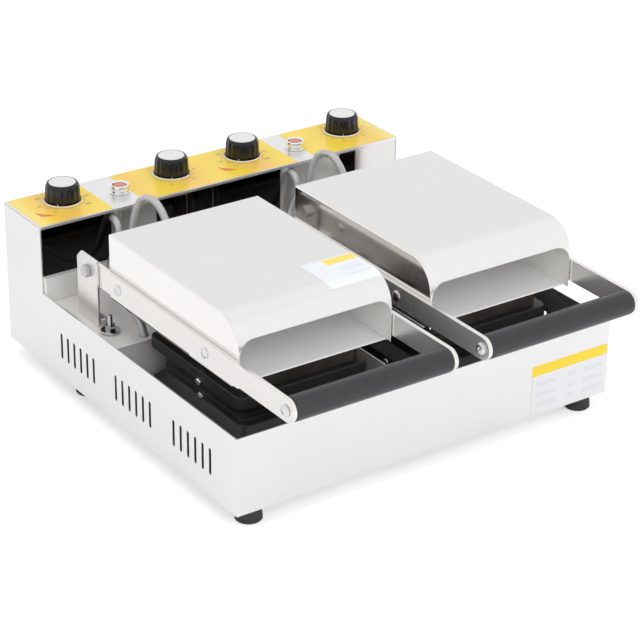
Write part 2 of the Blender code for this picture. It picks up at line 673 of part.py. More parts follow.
def add_controls(looks):
    knobs, lamps = control_places()
    panel = up(CONTROL_HEIGHT)
    bore = SHAFT_RADIUS + GAP
    profile = [(0, KNOB_BORE_DEPTH), (bore, KNOB_BORE_DEPTH), (bore, 0), (KNOB_SKIRT_RADIUS, 0),
               (KNOB_SKIRT_RADIUS, KNOB_SKIRT_HEIGHT), (KNOB_RADIUS, KNOB_SKIRT_HEIGHT),
               (KNOB_TOP_RADIUS, KNOB_HEIGHT - KNOB_CHAMFER),
               (KNOB_TOP_RADIUS - KNOB_CHAMFER, KNOB_HEIGHT), (0, KNOB_HEIGHT)]
    knob = mesh_of("knob", turned(profile, ROUND_STEPS))
    half = SWITCH_WIDTH / 2
    top = -SHEET - GAP
    case = block(-half, half, -half, half, top - SWITCH_HEIGHT, top)
    shaft = turned([(0, top - SWITCH_HEIGHT / 2), (BUSH_RADIUS, top - SWITCH_HEIGHT / 2),
                    (BUSH_RADIUS, 0), (SHAFT_RADIUS, 0), (SHAFT_RADIUS, KNOB_BORE_DEPTH),
                    (0, KNOB_BORE_DEPTH)], SMALL_STEPS)
    switch = combined("switch", case, [shaft])
    for name, x in knobs.items():
        place(f"{name}_body", switch, looks["bakelite"], (x, at(KNOB_ROW_Y), panel))
        place(f"{name}_knob", knob, looks["knob"],
              (x, at(KNOB_ROW_Y), panel + RUN_CLEARANCE), smooth=True)

    inner = LAMP_LENS_RADIUS + GAP
    profile = [(inner, -LAMP_DEPTH), (LAMP_BARREL_RADIUS, -LAMP_DEPTH), (LAMP_BARREL_RADIUS, GAP),
               (LAMP_RADIUS, GAP), (LAMP_RADIUS, LAMP_BEZEL_HEIGHT - KNOB_CHAMFER),
               (LAMP_RADIUS - KNOB_CHAMFER, LAMP_BEZEL_HEIGHT), (inner, LAMP_BEZEL_HEIGHT),
               (inner, -LAMP_DEPTH)]
    bezel = mesh_of("lamp_bezel", turned(profile, ROUND_STEPS))
    profile = [(0, -LAMP_DEPTH), (LAMP_LENS_RADIUS, -LAMP_DEPTH),
               (LAMP_LENS_RADIUS, LAMP_BEZEL_HEIGHT),
               (LAMP_LENS_RADIUS * math.cos(math.pi / 4),
                LAMP_BEZEL_HEIGHT + (LAMP_LENS_HEIGHT - LAMP_BEZEL_HEIGHT) * math.sin(math.pi / 4)),
               (0, LAMP_LENS_HEIGHT)]
    lens = mesh_of("lamp_lens", turned(profile, ROUND_STEPS))
    for side, x in lamps.items():
        seat = (x, at(LAMP_ROW_Y), panel)
        place(f"lamp_bezel_{side}", bezel, looks["bright_steel"], seat, smooth=True)
        place(f"lamp_lens_{side}", lens, looks["lens"], seat, smooth=True)


def tube(name, route, look):
    """A round conduit through the route's points, with flat ends."""
    curve = bpy.data.curves.new(name, "CURVE")
    curve.dimensions = "3D"
    curve.bevel_depth = CONDUIT_RADIUS
    curve.bevel_resolution = 2
    curve.use_fill_caps = True
    line = curve.splines.new("POLY")
    line.points.add(len(route) - 1)
    for point, place_of in zip(line.points, route):
        point.co = (*place_of, 1)
    obj = bpy.data.objects.new(name, curve)
    bpy.context.scene.collection.objects.link(obj)
    curve.materials.append(look)
    return obj


def smooth_route(knots, steps):
    """Points of a smooth curve through the knots; a short span keeps its direction best."""
    spans = [end - start for start, end in zip(knots, knots[1:])]
    leans = [spans[0].normalized()]
    for before, after in zip(spans, spans[1:]):
        lean = before.normalized() * after.length + after.normalized() * before.length
        leans.append(lean.normalized())
    leans.append(spans[-1].normalized())
    points = []
    for start, span, lean, next_lean in zip(knots, spans, leans, leans[1:]):
        for step in range(steps):
            t = step / steps
            points.append(start + span * (3 * t ** 2 - 2 * t ** 3)
                          + lean * span.length * (t - 2 * t ** 2 + t ** 3)
                          + next_lean * span.length * (t ** 3 - t ** 2))
    points.append(knots[-1])
    return points


def spot(centre, x, y, height):
    return Vector((centre + x, at(y), up(height)))


def lower_route(centre):
    """Out of the control box, down in front of it, over the deck and through its hole."""
    fall_y = CONTROL_Y - LOWER_EXIT_RUN
    turn_y = fall_y + CONDUIT_RADIUS
    turn = LOWER_EXIT_HEIGHT - CONDUIT_RADIUS
    return [spot(centre, LOWER_EXIT_X, CONTROL_Y + 2 * SHEET, LOWER_EXIT_HEIGHT),
            spot(centre, LOWER_EXIT_X, CONTROL_Y - SHEET, LOWER_EXIT_HEIGHT),
            spot(centre, LOWER_EXIT_X - SHEET, turn_y, turn + CONDUIT_RADIUS / 2),
            spot(centre, LOWER_EXIT_X - 2 * SHEET, fall_y, turn - CONDUIT_RADIUS),
            spot(centre, LOWER_FALL_X, fall_y, DECK_HEIGHT + LOWER_FALL_RISE),
            spot(centre, LOWER_BEND_X, CONTROL_Y - LOWER_BEND_LEAD, DECK_HEIGHT + LOWER_BEND_RISE),
            spot(centre, LOWER_CREST_X, BAY_DEPTH + LOWER_CREST_SETBACK,
                 DECK_HEIGHT + LOWER_CREST_RISE),
            spot(centre, LOWER_HOLE_X, LOWER_HOLE_Y, DECK_HEIGHT + CONDUIT_RADIUS / 2),
            spot(centre, LOWER_HOLE_X, LOWER_HOLE_Y, DECK_HEIGHT - SHEET),
            spot(centre, LOWER_HOLE_X, LOWER_HOLE_Y, DECK_HEIGHT - HOLE_DROP)]


def lid_route(centre):
    """Up from the deck, over in a loop that lets the lid swing, and in through its back."""
    rear = COVER_REAR_Y
    return [spot(centre, LID_HOLE_X, LID_HOLE_Y, DECK_HEIGHT - HOLE_DROP),
            spot(centre, LID_HOLE_X, LID_HOLE_Y, DECK_HEIGHT),
            spot(centre, LID_HOLE_X, LID_HOLE_Y, DECK_HEIGHT + HOLE_DROP),
            spot(centre, LOOP_X, LOOP_Y, LOOP_TOP),
            spot(centre, LID_ENTRY_X, rear + 3 * LID_ENTRY_RUN, LID_ENTRY_HEIGHT + LID_ENTRY_RUN),
            spot(centre, LID_ENTRY_X, rear + LID_ENTRY_RUN, LID_ENTRY_HEIGHT),
            spot(centre, LID_ENTRY_X, rear, LID_ENTRY_HEIGHT),
            spot(centre, LID_ENTRY_X, rear - LID_ENTRY_RUN, LID_ENTRY_HEIGHT)]


def add_conduits(looks):
    for side, centre in HEAD_CENTRES.items():
        tube(f"lower_conduit_{side}", smooth_route(lower_route(centre), 3), looks["conduit"])
        tube(f"lid_conduit_{side}", smooth_route(lid_route(centre), 4), looks["conduit"])


def add_gland(looks):
    nose = GLAND_OUT / 3
    profile = [(GLAND_BORE, -GLAND_IN), (GLAND_BARREL_RADIUS, -GLAND_IN),
               (GLAND_BARREL_RADIUS, GAP), (GLAND_RADIUS, GAP),
               (GLAND_RADIUS, GLAND_OUT - nose), (GLAND_BARREL_RADIUS, GLAND_OUT),
               (GLAND_BORE, GLAND_OUT), (GLAND_BORE, -GLAND_IN)]
    mesh = mesh_of("cord_gland", turned(profile, ROUND_STEPS, "Y"))
    place("cord_gland", mesh, looks["rubber"],
          (GLAND_X, at(HOUSING_DEPTH), up(GLAND_HEIGHT)), smooth=True)


def main():
    for obj in list(bpy.data.objects):
        bpy.data.objects.remove(obj)
    looks = {
        "steel": material("brushed_steel", (0.80, 0.80, 0.79), 1.0, 0.28),
        "dark_steel": material("control_front_steel", (0.06, 0.06, 0.06), 1.0, 0.15),
        "bright_steel": material("bright_steel", (0.85, 0.85, 0.86), 1.0, 0.12),
        "galvanised": material("galvanised_steel", (0.60, 0.61, 0.62), 1.0, 0.45),
        "casting": material("coated_casting", (0.025, 0.025, 0.028), 0.0, 0.45),
        "black_steel": material("blackened_steel", (0.03, 0.03, 0.03), 0.3, 0.40),
        "rubber": material("black_rubber", (0.02, 0.02, 0.02), 0.0, 0.80),
        "grip": material("grip_plastic", (0.035, 0.036, 0.042), 0.0, 0.35),
        "knob": material("knob_plastic", (0.015, 0.015, 0.015), 0.0, 0.25),
        "bakelite": material("switch_body", (0.05, 0.04, 0.035), 0.0, 0.60),
        "lens": material("lamp_lens", (0.90, 0.30, 0.08), 0.0, 0.15),
        "conduit": material("conduit_sleeve", (0.78, 0.78, 0.77), 0.6, 0.35),
    }
    add_housing(looks)
    add_feet(looks)
    add_control_box(looks)
    add_deck_and_bay(looks)
    add_lower_moulds(looks)
    add_hinges(looks)
    add_studs(looks)
    add_lids(looks)
    add_controls(looks)
    add_conduits(looks)
    add_gland(looks)


main()
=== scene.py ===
"""Twin-head sandwich press on a pale floor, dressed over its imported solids.

Metres, +Z up, +Y to the back. The sections follow the press as it is put together.
"""

import math

import bmesh
import bpy
from mathutils import Matrix, Vector


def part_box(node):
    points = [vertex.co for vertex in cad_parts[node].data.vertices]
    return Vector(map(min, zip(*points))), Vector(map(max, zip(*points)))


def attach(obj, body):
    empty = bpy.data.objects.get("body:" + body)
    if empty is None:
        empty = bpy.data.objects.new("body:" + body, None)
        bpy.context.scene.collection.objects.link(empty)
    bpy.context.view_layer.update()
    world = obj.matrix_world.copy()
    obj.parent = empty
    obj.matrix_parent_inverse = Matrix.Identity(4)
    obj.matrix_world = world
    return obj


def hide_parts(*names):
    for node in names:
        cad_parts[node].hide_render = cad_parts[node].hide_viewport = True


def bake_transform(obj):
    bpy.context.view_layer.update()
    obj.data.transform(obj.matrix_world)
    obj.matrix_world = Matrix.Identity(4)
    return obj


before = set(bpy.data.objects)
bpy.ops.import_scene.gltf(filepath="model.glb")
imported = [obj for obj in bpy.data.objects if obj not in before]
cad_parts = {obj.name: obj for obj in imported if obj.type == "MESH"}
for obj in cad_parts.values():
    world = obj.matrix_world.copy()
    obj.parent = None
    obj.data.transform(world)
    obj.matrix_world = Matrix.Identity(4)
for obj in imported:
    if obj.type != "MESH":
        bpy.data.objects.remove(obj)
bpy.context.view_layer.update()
scene = bpy.context.scene
scene.view_settings.view_transform = "Standard"


# ---- Camera, lights and floor ----
# A product photograph from the left front, a little above the press: white paper underneath
# and all round, the main lamp in front and above, and weak ones overhead and at the left.

class Wire:
    """A socket in a node tree: sums of wires add Math nodes, and node() adds any other node."""

    def __init__(self, tree, socket=None):
        self.tree, self.socket = tree, socket

    def node(self, kind, inputs=None, output=0, **settings):
        made = self.tree.nodes.new(kind)
        for name, value in settings.items():
            setattr(made, name, value)
        for name, value in (inputs or {}).items():
            self.join(value, made.inputs[name])
        return Wire(self.tree, made.outputs[output])

    def join(self, value, socket):
        if isinstance(value, Wire):
            self.tree.links.new(value.socket, socket)
        else:
            socket.default_value = value

    def sum(self, operation, first, second=0.0):
        return self.node("ShaderNodeMath", {0: first, 1: second}, operation=operation)

    def __add__(self, other):
        return self.sum("ADD", self, other)

    def __sub__(self, other):
        return self.sum("SUBTRACT", self, other)

    def __rsub__(self, other):
        return self.sum("SUBTRACT", other, self)

    def __mul__(self, other):
        return self.sum("MULTIPLY", self, other)

    def __truediv__(self, other):
        return self.sum("DIVIDE", self, other)

    def __gt__(self, other):
        return self.sum("GREATER_THAN", self, other)

    def __lt__(self, other):
        return self.sum("LESS_THAN", self, other)

    def __pow__(self, other):
        return self.sum("POWER", self, other)

    __radd__ = __add__
    __rmul__ = __mul__

    def axis(self, name):
        """One of a vector's three values."""
        return self.node("ShaderNodeSeparateXYZ", {0: self}, name)

    def rise(self, low, high):
        """0 below low and 1 above high, with a smooth step between them."""
        return self.node("ShaderNodeMapRange", {"Value": self, "From Min": low, "From Max": high},
                         interpolation_type="SMOOTHSTEP")

    def within(self, low, high, soft):
        """1 between low and high, falling to 0 over a soft edge outside them."""
        return self.rise(low - soft, low + soft) * (1 - self.rise(high - soft, high + soft))

    def bands(self, spans, soft):
        """The sum of within() over several (low, high) spans."""
        total = 0
        for low, high in spans:
            total = self.within(low, high, soft) + total
        return total


def seen_rays(wire):
    """The camera's rays, and those of what shows in metal and glass. The rest is light."""
    camera, glossy, through = [wire.node("ShaderNodeLightPath", output=f"Is {kind} Ray")
                               for kind in ("Camera", "Glossy", "Transmission")]
    return camera, glossy + through


lens = bpy.data.cameras.new("camera")
lens.sensor_width = 36.0
lens.lens = 134.27
lens.clip_end = 50.0
camera = bpy.data.objects.new("camera", lens)
scene.collection.objects.link(camera)
camera.location = (-1.3939, -2.0091, 1.3040)
camera.rotation_euler = [math.radians(turn) for turn in (63.54, -0.58, -34.55)]
scene.camera = camera

room = bpy.data.worlds.new("studio")
room.use_nodes = True
scene.world = room
air = Wire(room.node_tree)
by_camera, by_gloss = seen_rays(air)
height = air.node("ShaderNodeTexCoord", output="Generated").axis("Z")
glow = 0.95 - height.within(0.90, 1.5, 0.10) * 0.15
fill = 1.00 - height.within(0.20, 1.5, 0.25) * 0.15
strength = by_camera + by_gloss * glow + (1 - by_camera - by_gloss) * fill
background = room.node_tree.nodes["Background"]
air.join(strength, background.inputs["Strength"])
air.join((1.0, 1.0, 1.0, 1.0), background.inputs["Color"])

press_middle = Vector((0, 0, 0.1))
for name, place, size, power in (("overhead", (-0.5, -0.4, 2.6), 4.0, 3.0),
                                 ("left", (-2.4, -0.6, 1.1), 1.6, 4.0),
                                 ("front", (-0.1, -2.4, 1.5), 2.0, 24.0)):
    lamp = bpy.data.lights.new(name, "AREA")
    lamp.shape, lamp.size, lamp.energy = "DISK", size, power
    held = bpy.data.objects.new(name, lamp)
    held.location = place
    held.rotation_euler = (press_middle - held.location).to_track_quat("-Z", "Y").to_euler()
    held.visible_glossy = False
    scene.collection.objects.link(held)

paper = bpy.data.materials.new("white_paper")
paper.use_nodes = True
start = Wire(paper.node_tree)
by_camera, by_gloss = seen_rays(start)
lift = start.node("ShaderNodeEmission", {"Color": (1, 1, 1, 1),
                                         "Strength": by_camera * 0.42 + by_gloss * 0.22})
matt = start.node("ShaderNodeBsdfDiffuse", {"Color": (0.80, 0.80, 0.80, 1)})
both = start.node("ShaderNodeAddShader", {0: lift, 1: matt})
start.join(both, paper.node_tree.nodes["Material Output"].inputs["Surface"])
floor_mesh = bpy.data.meshes.new("floor")
floor_mesh.from_pydata([(-8, -8, 0), (8, -8, 0), (8, 8, 0), (-8, 8, 0)], [], [(0, 1, 2, 3)])
floor_mesh.materials.append(paper)
floor = bpy.data.objects.new("floor", floor_mesh)
floor.location = (0, 0, -0.0002)
scene.collection.objects.link(floor)


# ---- Housing wrap ----
# One folded shell of 1.5 mm stainless sheet: the front, the two sides and their vent slots.
# The sheet has a fine vertical brushing, nearly white under the lamps, and small fold radii.

def coat(wire, **surface):
    """Wires or values for the shader's sockets, named with _ for a space."""
    shader = wire.tree.nodes["Principled BSDF"]
    for socket, value in surface.items():
        wire.join(value, shader.inputs[socket.replace("_", " ")])


def finish(name, colour, metallic, roughness, **fixed):
    """A material, and a wire in its tree to start patterns from."""
    made = bpy.data.materials.new(name)
    made.use_nodes = True
    made.diffuse_color = (*colour, 1.0)
    wire = Wire(made.node_tree)
    coat(wire, Base_Color=(*colour, 1.0), Metallic=metallic, Roughness=roughness, **fixed)
    return made, wire


def place_on(wire, stretch=(1, 1, 1), centre=(0, 0, 0)):
    """Object coordinates from a centre, stretched for a pattern."""
    raw = wire.node("ShaderNodeTexCoord", output="Object")
    moved = wire.node("ShaderNodeVectorMath", {0: raw, 1: centre}, operation="SUBTRACT")
    return wire.node("ShaderNodeMapping", {"Vector": moved, "Scale": stretch})


def noise(wire, scale, detail=2.0, rough=0.5, stretch=(1, 1, 1)):
    return wire.node("ShaderNodeTexNoise", {"Vector": place_on(wire, stretch), "Scale": scale,
                                            "Detail": detail, "Roughness": rough})


def hairlines(wire, brushing):
    """The belt's fine lines, across the short axis of the brushing."""
    return noise(wire, 1.0, 3.0, 0.65, brushing)


def wiped_smears(wire):
    return noise(wire, 9.0, 3.0, 0.55, (1.0, 1.6, 1.3))


def mixed(share, first, second):
    """Between two colours; each is a triple or a wire."""
    ends = [value if isinstance(value, Wire) else (*value, 1.0) for value in (first, second)]
    return share.node("ShaderNodeMix", {"Factor": share, 6: ends[0], 7: ends[1]}, 2,
                      data_type="RGBA")


def bumped(relief, distance, strength=1.0):
    return relief.node("ShaderNodeBump", {"Height": relief, "Distance": distance,
                                          "Strength": strength})


def brushed_steel(name, colour, brushing, roughness, streak=0.10, smear=0.06, relief=0.25,
                  shade=0.88, metallic=1.0):
    """Stainless sheet, with hairlines and faint smears between its colour and a darker one."""
    made, wire = finish(name, colour, metallic, roughness)
    lines, smears = hairlines(wire, brushing), wiped_smears(wire)
    dark = tuple(value * shade for value in colour)
    coat(wire, Base_Color=mixed(lines * 0.6 + smears * 0.4, dark, colour),
         Roughness=(lines - 0.5) * streak + (smears - 0.5) * smear + roughness,
         Normal=bumped(lines, 0.00004, relief))
    return made


def piece(name, shape, look, body, replaced=(), rounding=0.0, sharp=32, steps=2, slot=None):
    """A finished mesh that rides on its body and stands for the solids that it replaces."""
    mesh = bpy.data.meshes.new(name)
    shape.to_mesh(mesh)
    shape.free()
    mesh.materials.append(look)
    mesh.shade_smooth()
    made = bpy.data.objects.new(name, mesh)
    scene.collection.objects.link(made)
    if rounding:
        edge = made.modifiers.new("Rounded edges", "BEVEL")
        edge.width, edge.segments, edge.limit_method = rounding, steps, "ANGLE"
        edge.angle_limit = math.radians(sharp)
        flats = made.modifiers.new("Flat faces", "WEIGHTED_NORMAL")
        flats.weight, flats.mode = 100, "FACE_AREA"
    else:
        mesh.set_sharp_from_angle(angle=math.radians(sharp))
    if body:
        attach(made, body)
    if replaced:
        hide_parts(*replaced)
    return made


def own_shape(name, node, look, rounding, body="housing", slot="steel", **more):
    """A piece in its solid's own shape: welded, flat faces whole again and edges rounded."""
    shape = bmesh.new()
    shape.from_mesh(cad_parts[node].data)
    bmesh.ops.remove_doubles(shape, verts=shape.verts, dist=0.00001)
    bmesh.ops.dissolve_limit(shape, angle_limit=math.radians(0.5), verts=shape.verts,
                             edges=shape.edges)
    piece(name, shape, look, body, [node], rounding=rounding, slot=slot, **more)


wrap_steel = brushed_steel("wrap_steel", (0.90, 0.90, 0.905), (900, 900, 12), 0.32, 0.08)
own_shape("housing_shell", "housing_wrap", wrap_steel, 0.0006)


# ---- Bottom plate and rear cover ----
# The underside is dull zinc-coated sheet with its crystal pattern; the back is the wrap's
# steel. Pan-head screws hold both, set in from their edges.

def turned(profile, steps, place=(0, 0, 0), axis="Z"):
    """A closed profile of (radius, height), spun about an axis through a place."""
    shape = bmesh.new()
    points = [shape.verts.new((radius, 0, along)) for radius, along in profile]
    edges = [shape.edges.new(pair) for pair in zip(points, points[1:])]
    bmesh.ops.spin(shape, geom=points + edges, cent=(0, 0, 0), axis=(0, 0, 1), angle=math.tau,
                   steps=steps, use_merge=True)
    bmesh.ops.remove_doubles(shape, verts=shape.verts, dist=0.00001)
    turns = {"X": Matrix.Rotation(math.pi / 2, 3, "Y"),
             "Y": Matrix.Rotation(-math.pi / 2, 3, "X"), "Z": Matrix.Identity(3)}
    bmesh.ops.rotate(shape, verts=shape.verts, cent=(0, 0, 0), matrix=turns[axis])
    bmesh.ops.translate(shape, verts=shape.verts, vec=place)
    bmesh.ops.recalc_face_normals(shape, faces=shape.faces)
    return shape


def pan_head(radius, height):
    """A pan head about +Z, with its seat at zero."""
    return turned([(0, 0), (radius, 0), (radius, height * 0.45), (radius * 0.86, height * 0.80),
                   (radius * 0.55, height), (0, height * 1.02)], 20)


def settled(holder):
    """A new mesh of what an object's modifiers make."""
    bpy.context.view_layer.update()
    graph = bpy.context.evaluated_depsgraph_get()
    return bpy.data.meshes.new_from_object(holder.evaluated_get(graph))


def grown(name, mesh, sizes, pattern, look):
    """A mesh from Geometry Nodes: sizes are (kind, value) by name, pattern returns copies."""
    tree = bpy.data.node_groups.new(name, "GeometryNodeTree")
    sockets = {label: tree.interface.new_socket(label, in_out="INPUT",
                                                socket_type="NodeSocket" + kind)
               for label, (kind, _) in sizes.items()}
    tree.interface.new_socket("Geometry", in_out="OUTPUT", socket_type="NodeSocketGeometry")
    wire = Wire(tree)
    given = tree.nodes.new("NodeGroupInput")
    copies = pattern(wire, {label: Wire(tree, given.outputs[label]) for label in sockets})
    real = wire.node("GeometryNodeRealizeInstances", {"Geometry": copies})
    dressed = wire.node("GeometryNodeSetMaterial", {"Geometry": real, "Material": look})
    wire.join(dressed, tree.nodes.new("NodeGroupOutput").inputs["Geometry"])
    holder = bpy.data.objects.new(name, mesh)
    scene.collection.objects.link(holder)
    change = holder.modifiers.new("Pattern", "NODES")
    change.node_group = tree
    for label, (kind, value) in sizes.items():
        if kind != "Geometry":
            change[sockets[label].identifier] = value
    result = settled(holder)
    holder.modifiers.clear()
    holder.data = result
    return holder


def fasteners(name, head, spots, look, seed, body="housing"):
    """Copies of one fastener on the spots, each (place, outward direction), turned by chance."""
    seats = bpy.data.meshes.new(name + "_seats")
    seats.from_pydata([place for place, _ in spots], [], [])
    outward = seats.attributes.new("outward", "FLOAT_VECTOR", "POINT")
    outward.data.foreach_set("vector", [value for _, facing in spots for value in facing])
    sample_mesh = bpy.data.meshes.new(name + "_sample")
    head.to_mesh(sample_mesh)
    head.free()
    sample_mesh.shade_smooth()
    sample_mesh.set_sharp_from_angle(angle=math.radians(40))
    sample = bpy.data.objects.new(name + "_sample", sample_mesh)

    def pattern(wire, given):
        direction = wire.node("GeometryNodeInputNamedAttribute", {"Name": "outward"},
                              data_type="FLOAT_VECTOR")
        facing = wire.node("FunctionNodeAlignRotationToVector", {"Vector": direction}, axis="Z")
        angle = wire.node("FunctionNodeRandomValue",
                          {2: 0.0, 3: math.tau, "Seed": given["Seed"]}, 1, data_type="FLOAT")
        spin = wire.node("FunctionNodeAxisAngleToRotation", {"Axis": (0, 0, 1), "Angle": angle})
        way = wire.node("FunctionNodeRotateRotation", {"Rotation": facing, "Rotate By": spin},
                        rotation_space="LOCAL")
        shape = wire.node("GeometryNodeObjectInfo", {"Object": given["Fastener"]}, "Geometry")
        return wire.node("GeometryNodeInstanceOnPoints",
                         {"Points": given["Geometry"], "Instance": shape, "Rotation": way,
                          "Scale": given["Size"]})

    made = grown(name, seats, {"Geometry": ("Geometry", None), "Fastener": ("Object", sample),
                               "Size": ("Float", 1.0), "Seed": ("Int", seed)}, pattern, look)
    bpy.data.objects.remove(sample)
    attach(made, body)


zinc, wire = finish("zinc_sheet", (0.60, 0.61, 0.62), 1.0, 0.45)
crystals = wire.node("ShaderNodeTexVoronoi", {"Vector": place_on(wire), "Scale": 90.0}, "Color")
tint = wire.node("ShaderNodeSeparateColor", {0: crystals})
coat(wire, Base_Color=mixed(tint, (0.48, 0.49, 0.51), (0.66, 0.67, 0.68)),
     Roughness=tint * 0.25 + 0.35)
own_shape("underside_plate", "bottom_plate", zinc, 0.0003, slot="galvanised")
own_shape("back_cover", "rear_cover", wrap_steel, 0.0003)

screw_steel = brushed_steel("screw_steel", (0.80, 0.80, 0.81), (400, 400, 400), 0.22)
panel_screw, inset = (0.0035, 0.0020), 0.012
low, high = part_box("rear_cover")
ends, between = (low.x + inset, high.x - inset), (-0.10, 0.10)
back_spots = [(x, z) for z in (low.z + inset, high.z - inset)
              for x in (ends[0], *between, ends[1])]
back_spots += [(x, (low.z + high.z) / 2) for x in ends]
fasteners("back_screws", pan_head(*panel_screw),
          [((x, high.y, z), (0, 1, 0)) for x, z in back_spots], screw_steel, 3)
low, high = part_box("bottom_plate")
fasteners("underside_screws", pan_head(*panel_screw),
          [((x, y, low.z), (0, 0, -1)) for x in (low.x + 0.05, 0, high.x - 0.05)
           for y in (low.y + inset, high.y - inset)], screw_steel, 5)


# ---- Feet ----
# Four moulded rubber feet, tapering upwards, each with a recess in its sole for a fixing screw
# and a shallow groove round it.

def middle_of(node):
    low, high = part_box(node)
    return (low + high) / 2


rubber, wire = finish("foot_rubber", (0.020, 0.020, 0.021), 0.0, 0.72)
grain = noise(wire, 1800.0)
coat(wire, Base_Color=mixed(noise(wire, 60.0, 3.0), (0.016, 0.016, 0.017),
                            (0.040, 0.039, 0.038)),
     Roughness=grain * 0.2 + 0.62, Normal=bumped(grain, 0.00010, 0.5))
for corner in ("front_left", "front_right", "rear_left", "rear_right"):
    x, y, _ = middle_of("foot_" + corner)
    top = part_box("foot_" + corner)[1].z
    outline = [(0, 0.0035), (0.0045, 0.0035), (0.0048, 0.0), (0.0138, 0.0), (0.0150, 0.0012),
               (0.0149, 0.0040), (0.0143, 0.0046), (0.0143, 0.0052), (0.0147, 0.0058),
               (0.0132, top - 0.0006), (0.0126, top), (0, top)]
    piece(f"foot_{corner}_rubber", turned(outline, 48, (x, y, 0)), rubber, "housing",
          ["foot_" + corner], sharp=50, slot="rubber")


# ---- Front plate ----
# Thin foil stuck on the front by its right end: a yellow band over white, with a few grey
# ruled lines in three columns.

def srgb(red, green, blue):
    """A colour as the eye sees it, 0 to 255, as the shader's linear values."""
    return tuple(((value / 255 + 0.055) / 1.055) ** 2.4 for value in (red, green, blue))


def slab(corner, size):
    """A box from its lowest corner."""
    shape = bmesh.new()
    bmesh.ops.create_cube(shape, size=1.0)
    for vertex in shape.verts:
        vertex.co = [low + (value + 0.5) * length
                     for low, value, length in zip(corner, vertex.co, size)]
    return shape


def ruled(along, lines, across, columns, share, ground, grey):
    """A foil's ground, with thin grey rules on the lines as wide as the columns."""
    rules = along.bands([(line - 0.0003, line + 0.0003) for line in lines], 0.00015)
    return mixed(rules * across.bands(columns, 0.0003) * share, ground, grey)


plate_left, plate_top, plate_wide, plate_tall, yellow_tall = 0.1405, 0.0805, 0.1080, 0.060, 0.0125
plate_columns = [(plate_left + start, plate_left + end)
                 for start, end in ((0.006, 0.034), (0.052, 0.062), (0.074, 0.102))]
foil_white = srgb(226, 227, 230)
foil, wire = finish("front_plate_foil", foil_white, 0.0, 0.32)
height = place_on(wire).axis("Z")
white = ruled(height, (0.0585, 0.0555, 0.0455, 0.0425, 0.0325, 0.0295),
              place_on(wire).axis("X"), plate_columns, 0.55, foil_white, srgb(150, 150, 155))
coat(wire, Base_Color=mixed(height > plate_top - yellow_tall, white, srgb(246, 214, 52)))
front_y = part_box("housing_wrap")[0].y
piece("front_plate", slab((plate_left, front_y - 0.0004, plate_top - plate_tall),
                          (plate_wide, 0.0005, plate_tall)), foil, "housing", rounding=0.00012)


# ---- Mould bay and hinge deck ----
# Pale stainless trays: the bay under the moulds, its floor painted near-black as painted shade,
# with a low divider and a hem on its rear wall, and the flat deck that carries the hinge
# brackets.

bay_steel, wire = finish("bay_steel", (0.92, 0.90, 0.87), 0.0, 0.30)
floor_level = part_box("mould_bay_liner")[0].z
hairs, stains = hairlines(wire, (14, 700, 700)), noise(wire, 24.0, 4.0)
# Painted shade: below this edge the bay floor is painted near-black, standing for the shade and
# mirrored black moulds under the heads; the stain noise wobbles the edge.
above_painted_floor_shade = (place_on(wire).axis("Z") + stains * 0.008).rise(floor_level + 0.006, floor_level + 0.022)
wall_tone = mixed(hairs * 0.6 + stains * 0.4, (0.91, 0.89, 0.86), (0.98, 0.96, 0.93))
coat(wire, Base_Color=mixed(above_painted_floor_shade, (0.035, 0.032, 0.030), wall_tone),
     Roughness=hairs * 0.10 + stains * 0.10 + 0.20)
own_shape("bay_tray", "mould_bay_liner", bay_steel, 0.0004)
deck_steel = brushed_steel("deck_steel", (0.96, 0.94, 0.91), (14, 700, 700), 0.30, 0.05, 0.05,
                           metallic=0.15)
own_shape("deck_sheet", "hinge_deck", deck_steel, 0.0003)


# ---- Control box ----
# A folded top panel with a front lip over a polished front on a pale sill, its dark ground and
# pale strips painted reflections. Three printed foils lie on the top, and the steel between them
# is bare.

own_shape("control_lid", "control_top_panel", wrap_steel, 0.0005)

mirror_steel, wire = finish("mirror_steel", (0.10, 0.10, 0.10), 1.0, 0.05)
across = place_on(wire).axis("X")
sill_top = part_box("control_front_panel")[0].z + 0.0302
sill = place_on(wire).axis("Z") < sill_top
# Painted reflection: these pale strips stand for the covers mirrored in the polished front; the
# sill is the sheet's own pale colour and the seams are pale lines.
painted_reflection_strips = across.bands(((-0.157, -0.097), (0.077, 0.163), (0.187, 0.252)), 0.0008)
seams = across.bands([(seam - 0.0005, seam + 0.0005) for seam in (-0.055, -0.019)], 0.0002)
sill_seams_and_painted_reflections = wire.sum("MAXIMUM", painted_reflection_strips + seams * 0.5, sill)
# Painted reflection: the near-black ground is the dark room and the shade under the heads seen in
# the front, and the pale colour is the strips' painted reflection and the sill's own colour.
coat(wire, Base_Color=mixed(sill_seams_and_painted_reflections, (0.035, 0.034, 0.032), (0.80, 0.79, 0.77)),
     Roughness=noise(wire, 14.0, 3.0, 0.5, (1, 1, 0.6)) * 0.06 + 0.03 + sill_seams_and_painted_reflections * 0.16,
     Metallic=1 - sill * 0.8)
own_shape("control_front", "control_front_panel", mirror_steel, 0.0003, slot="dark_steel")

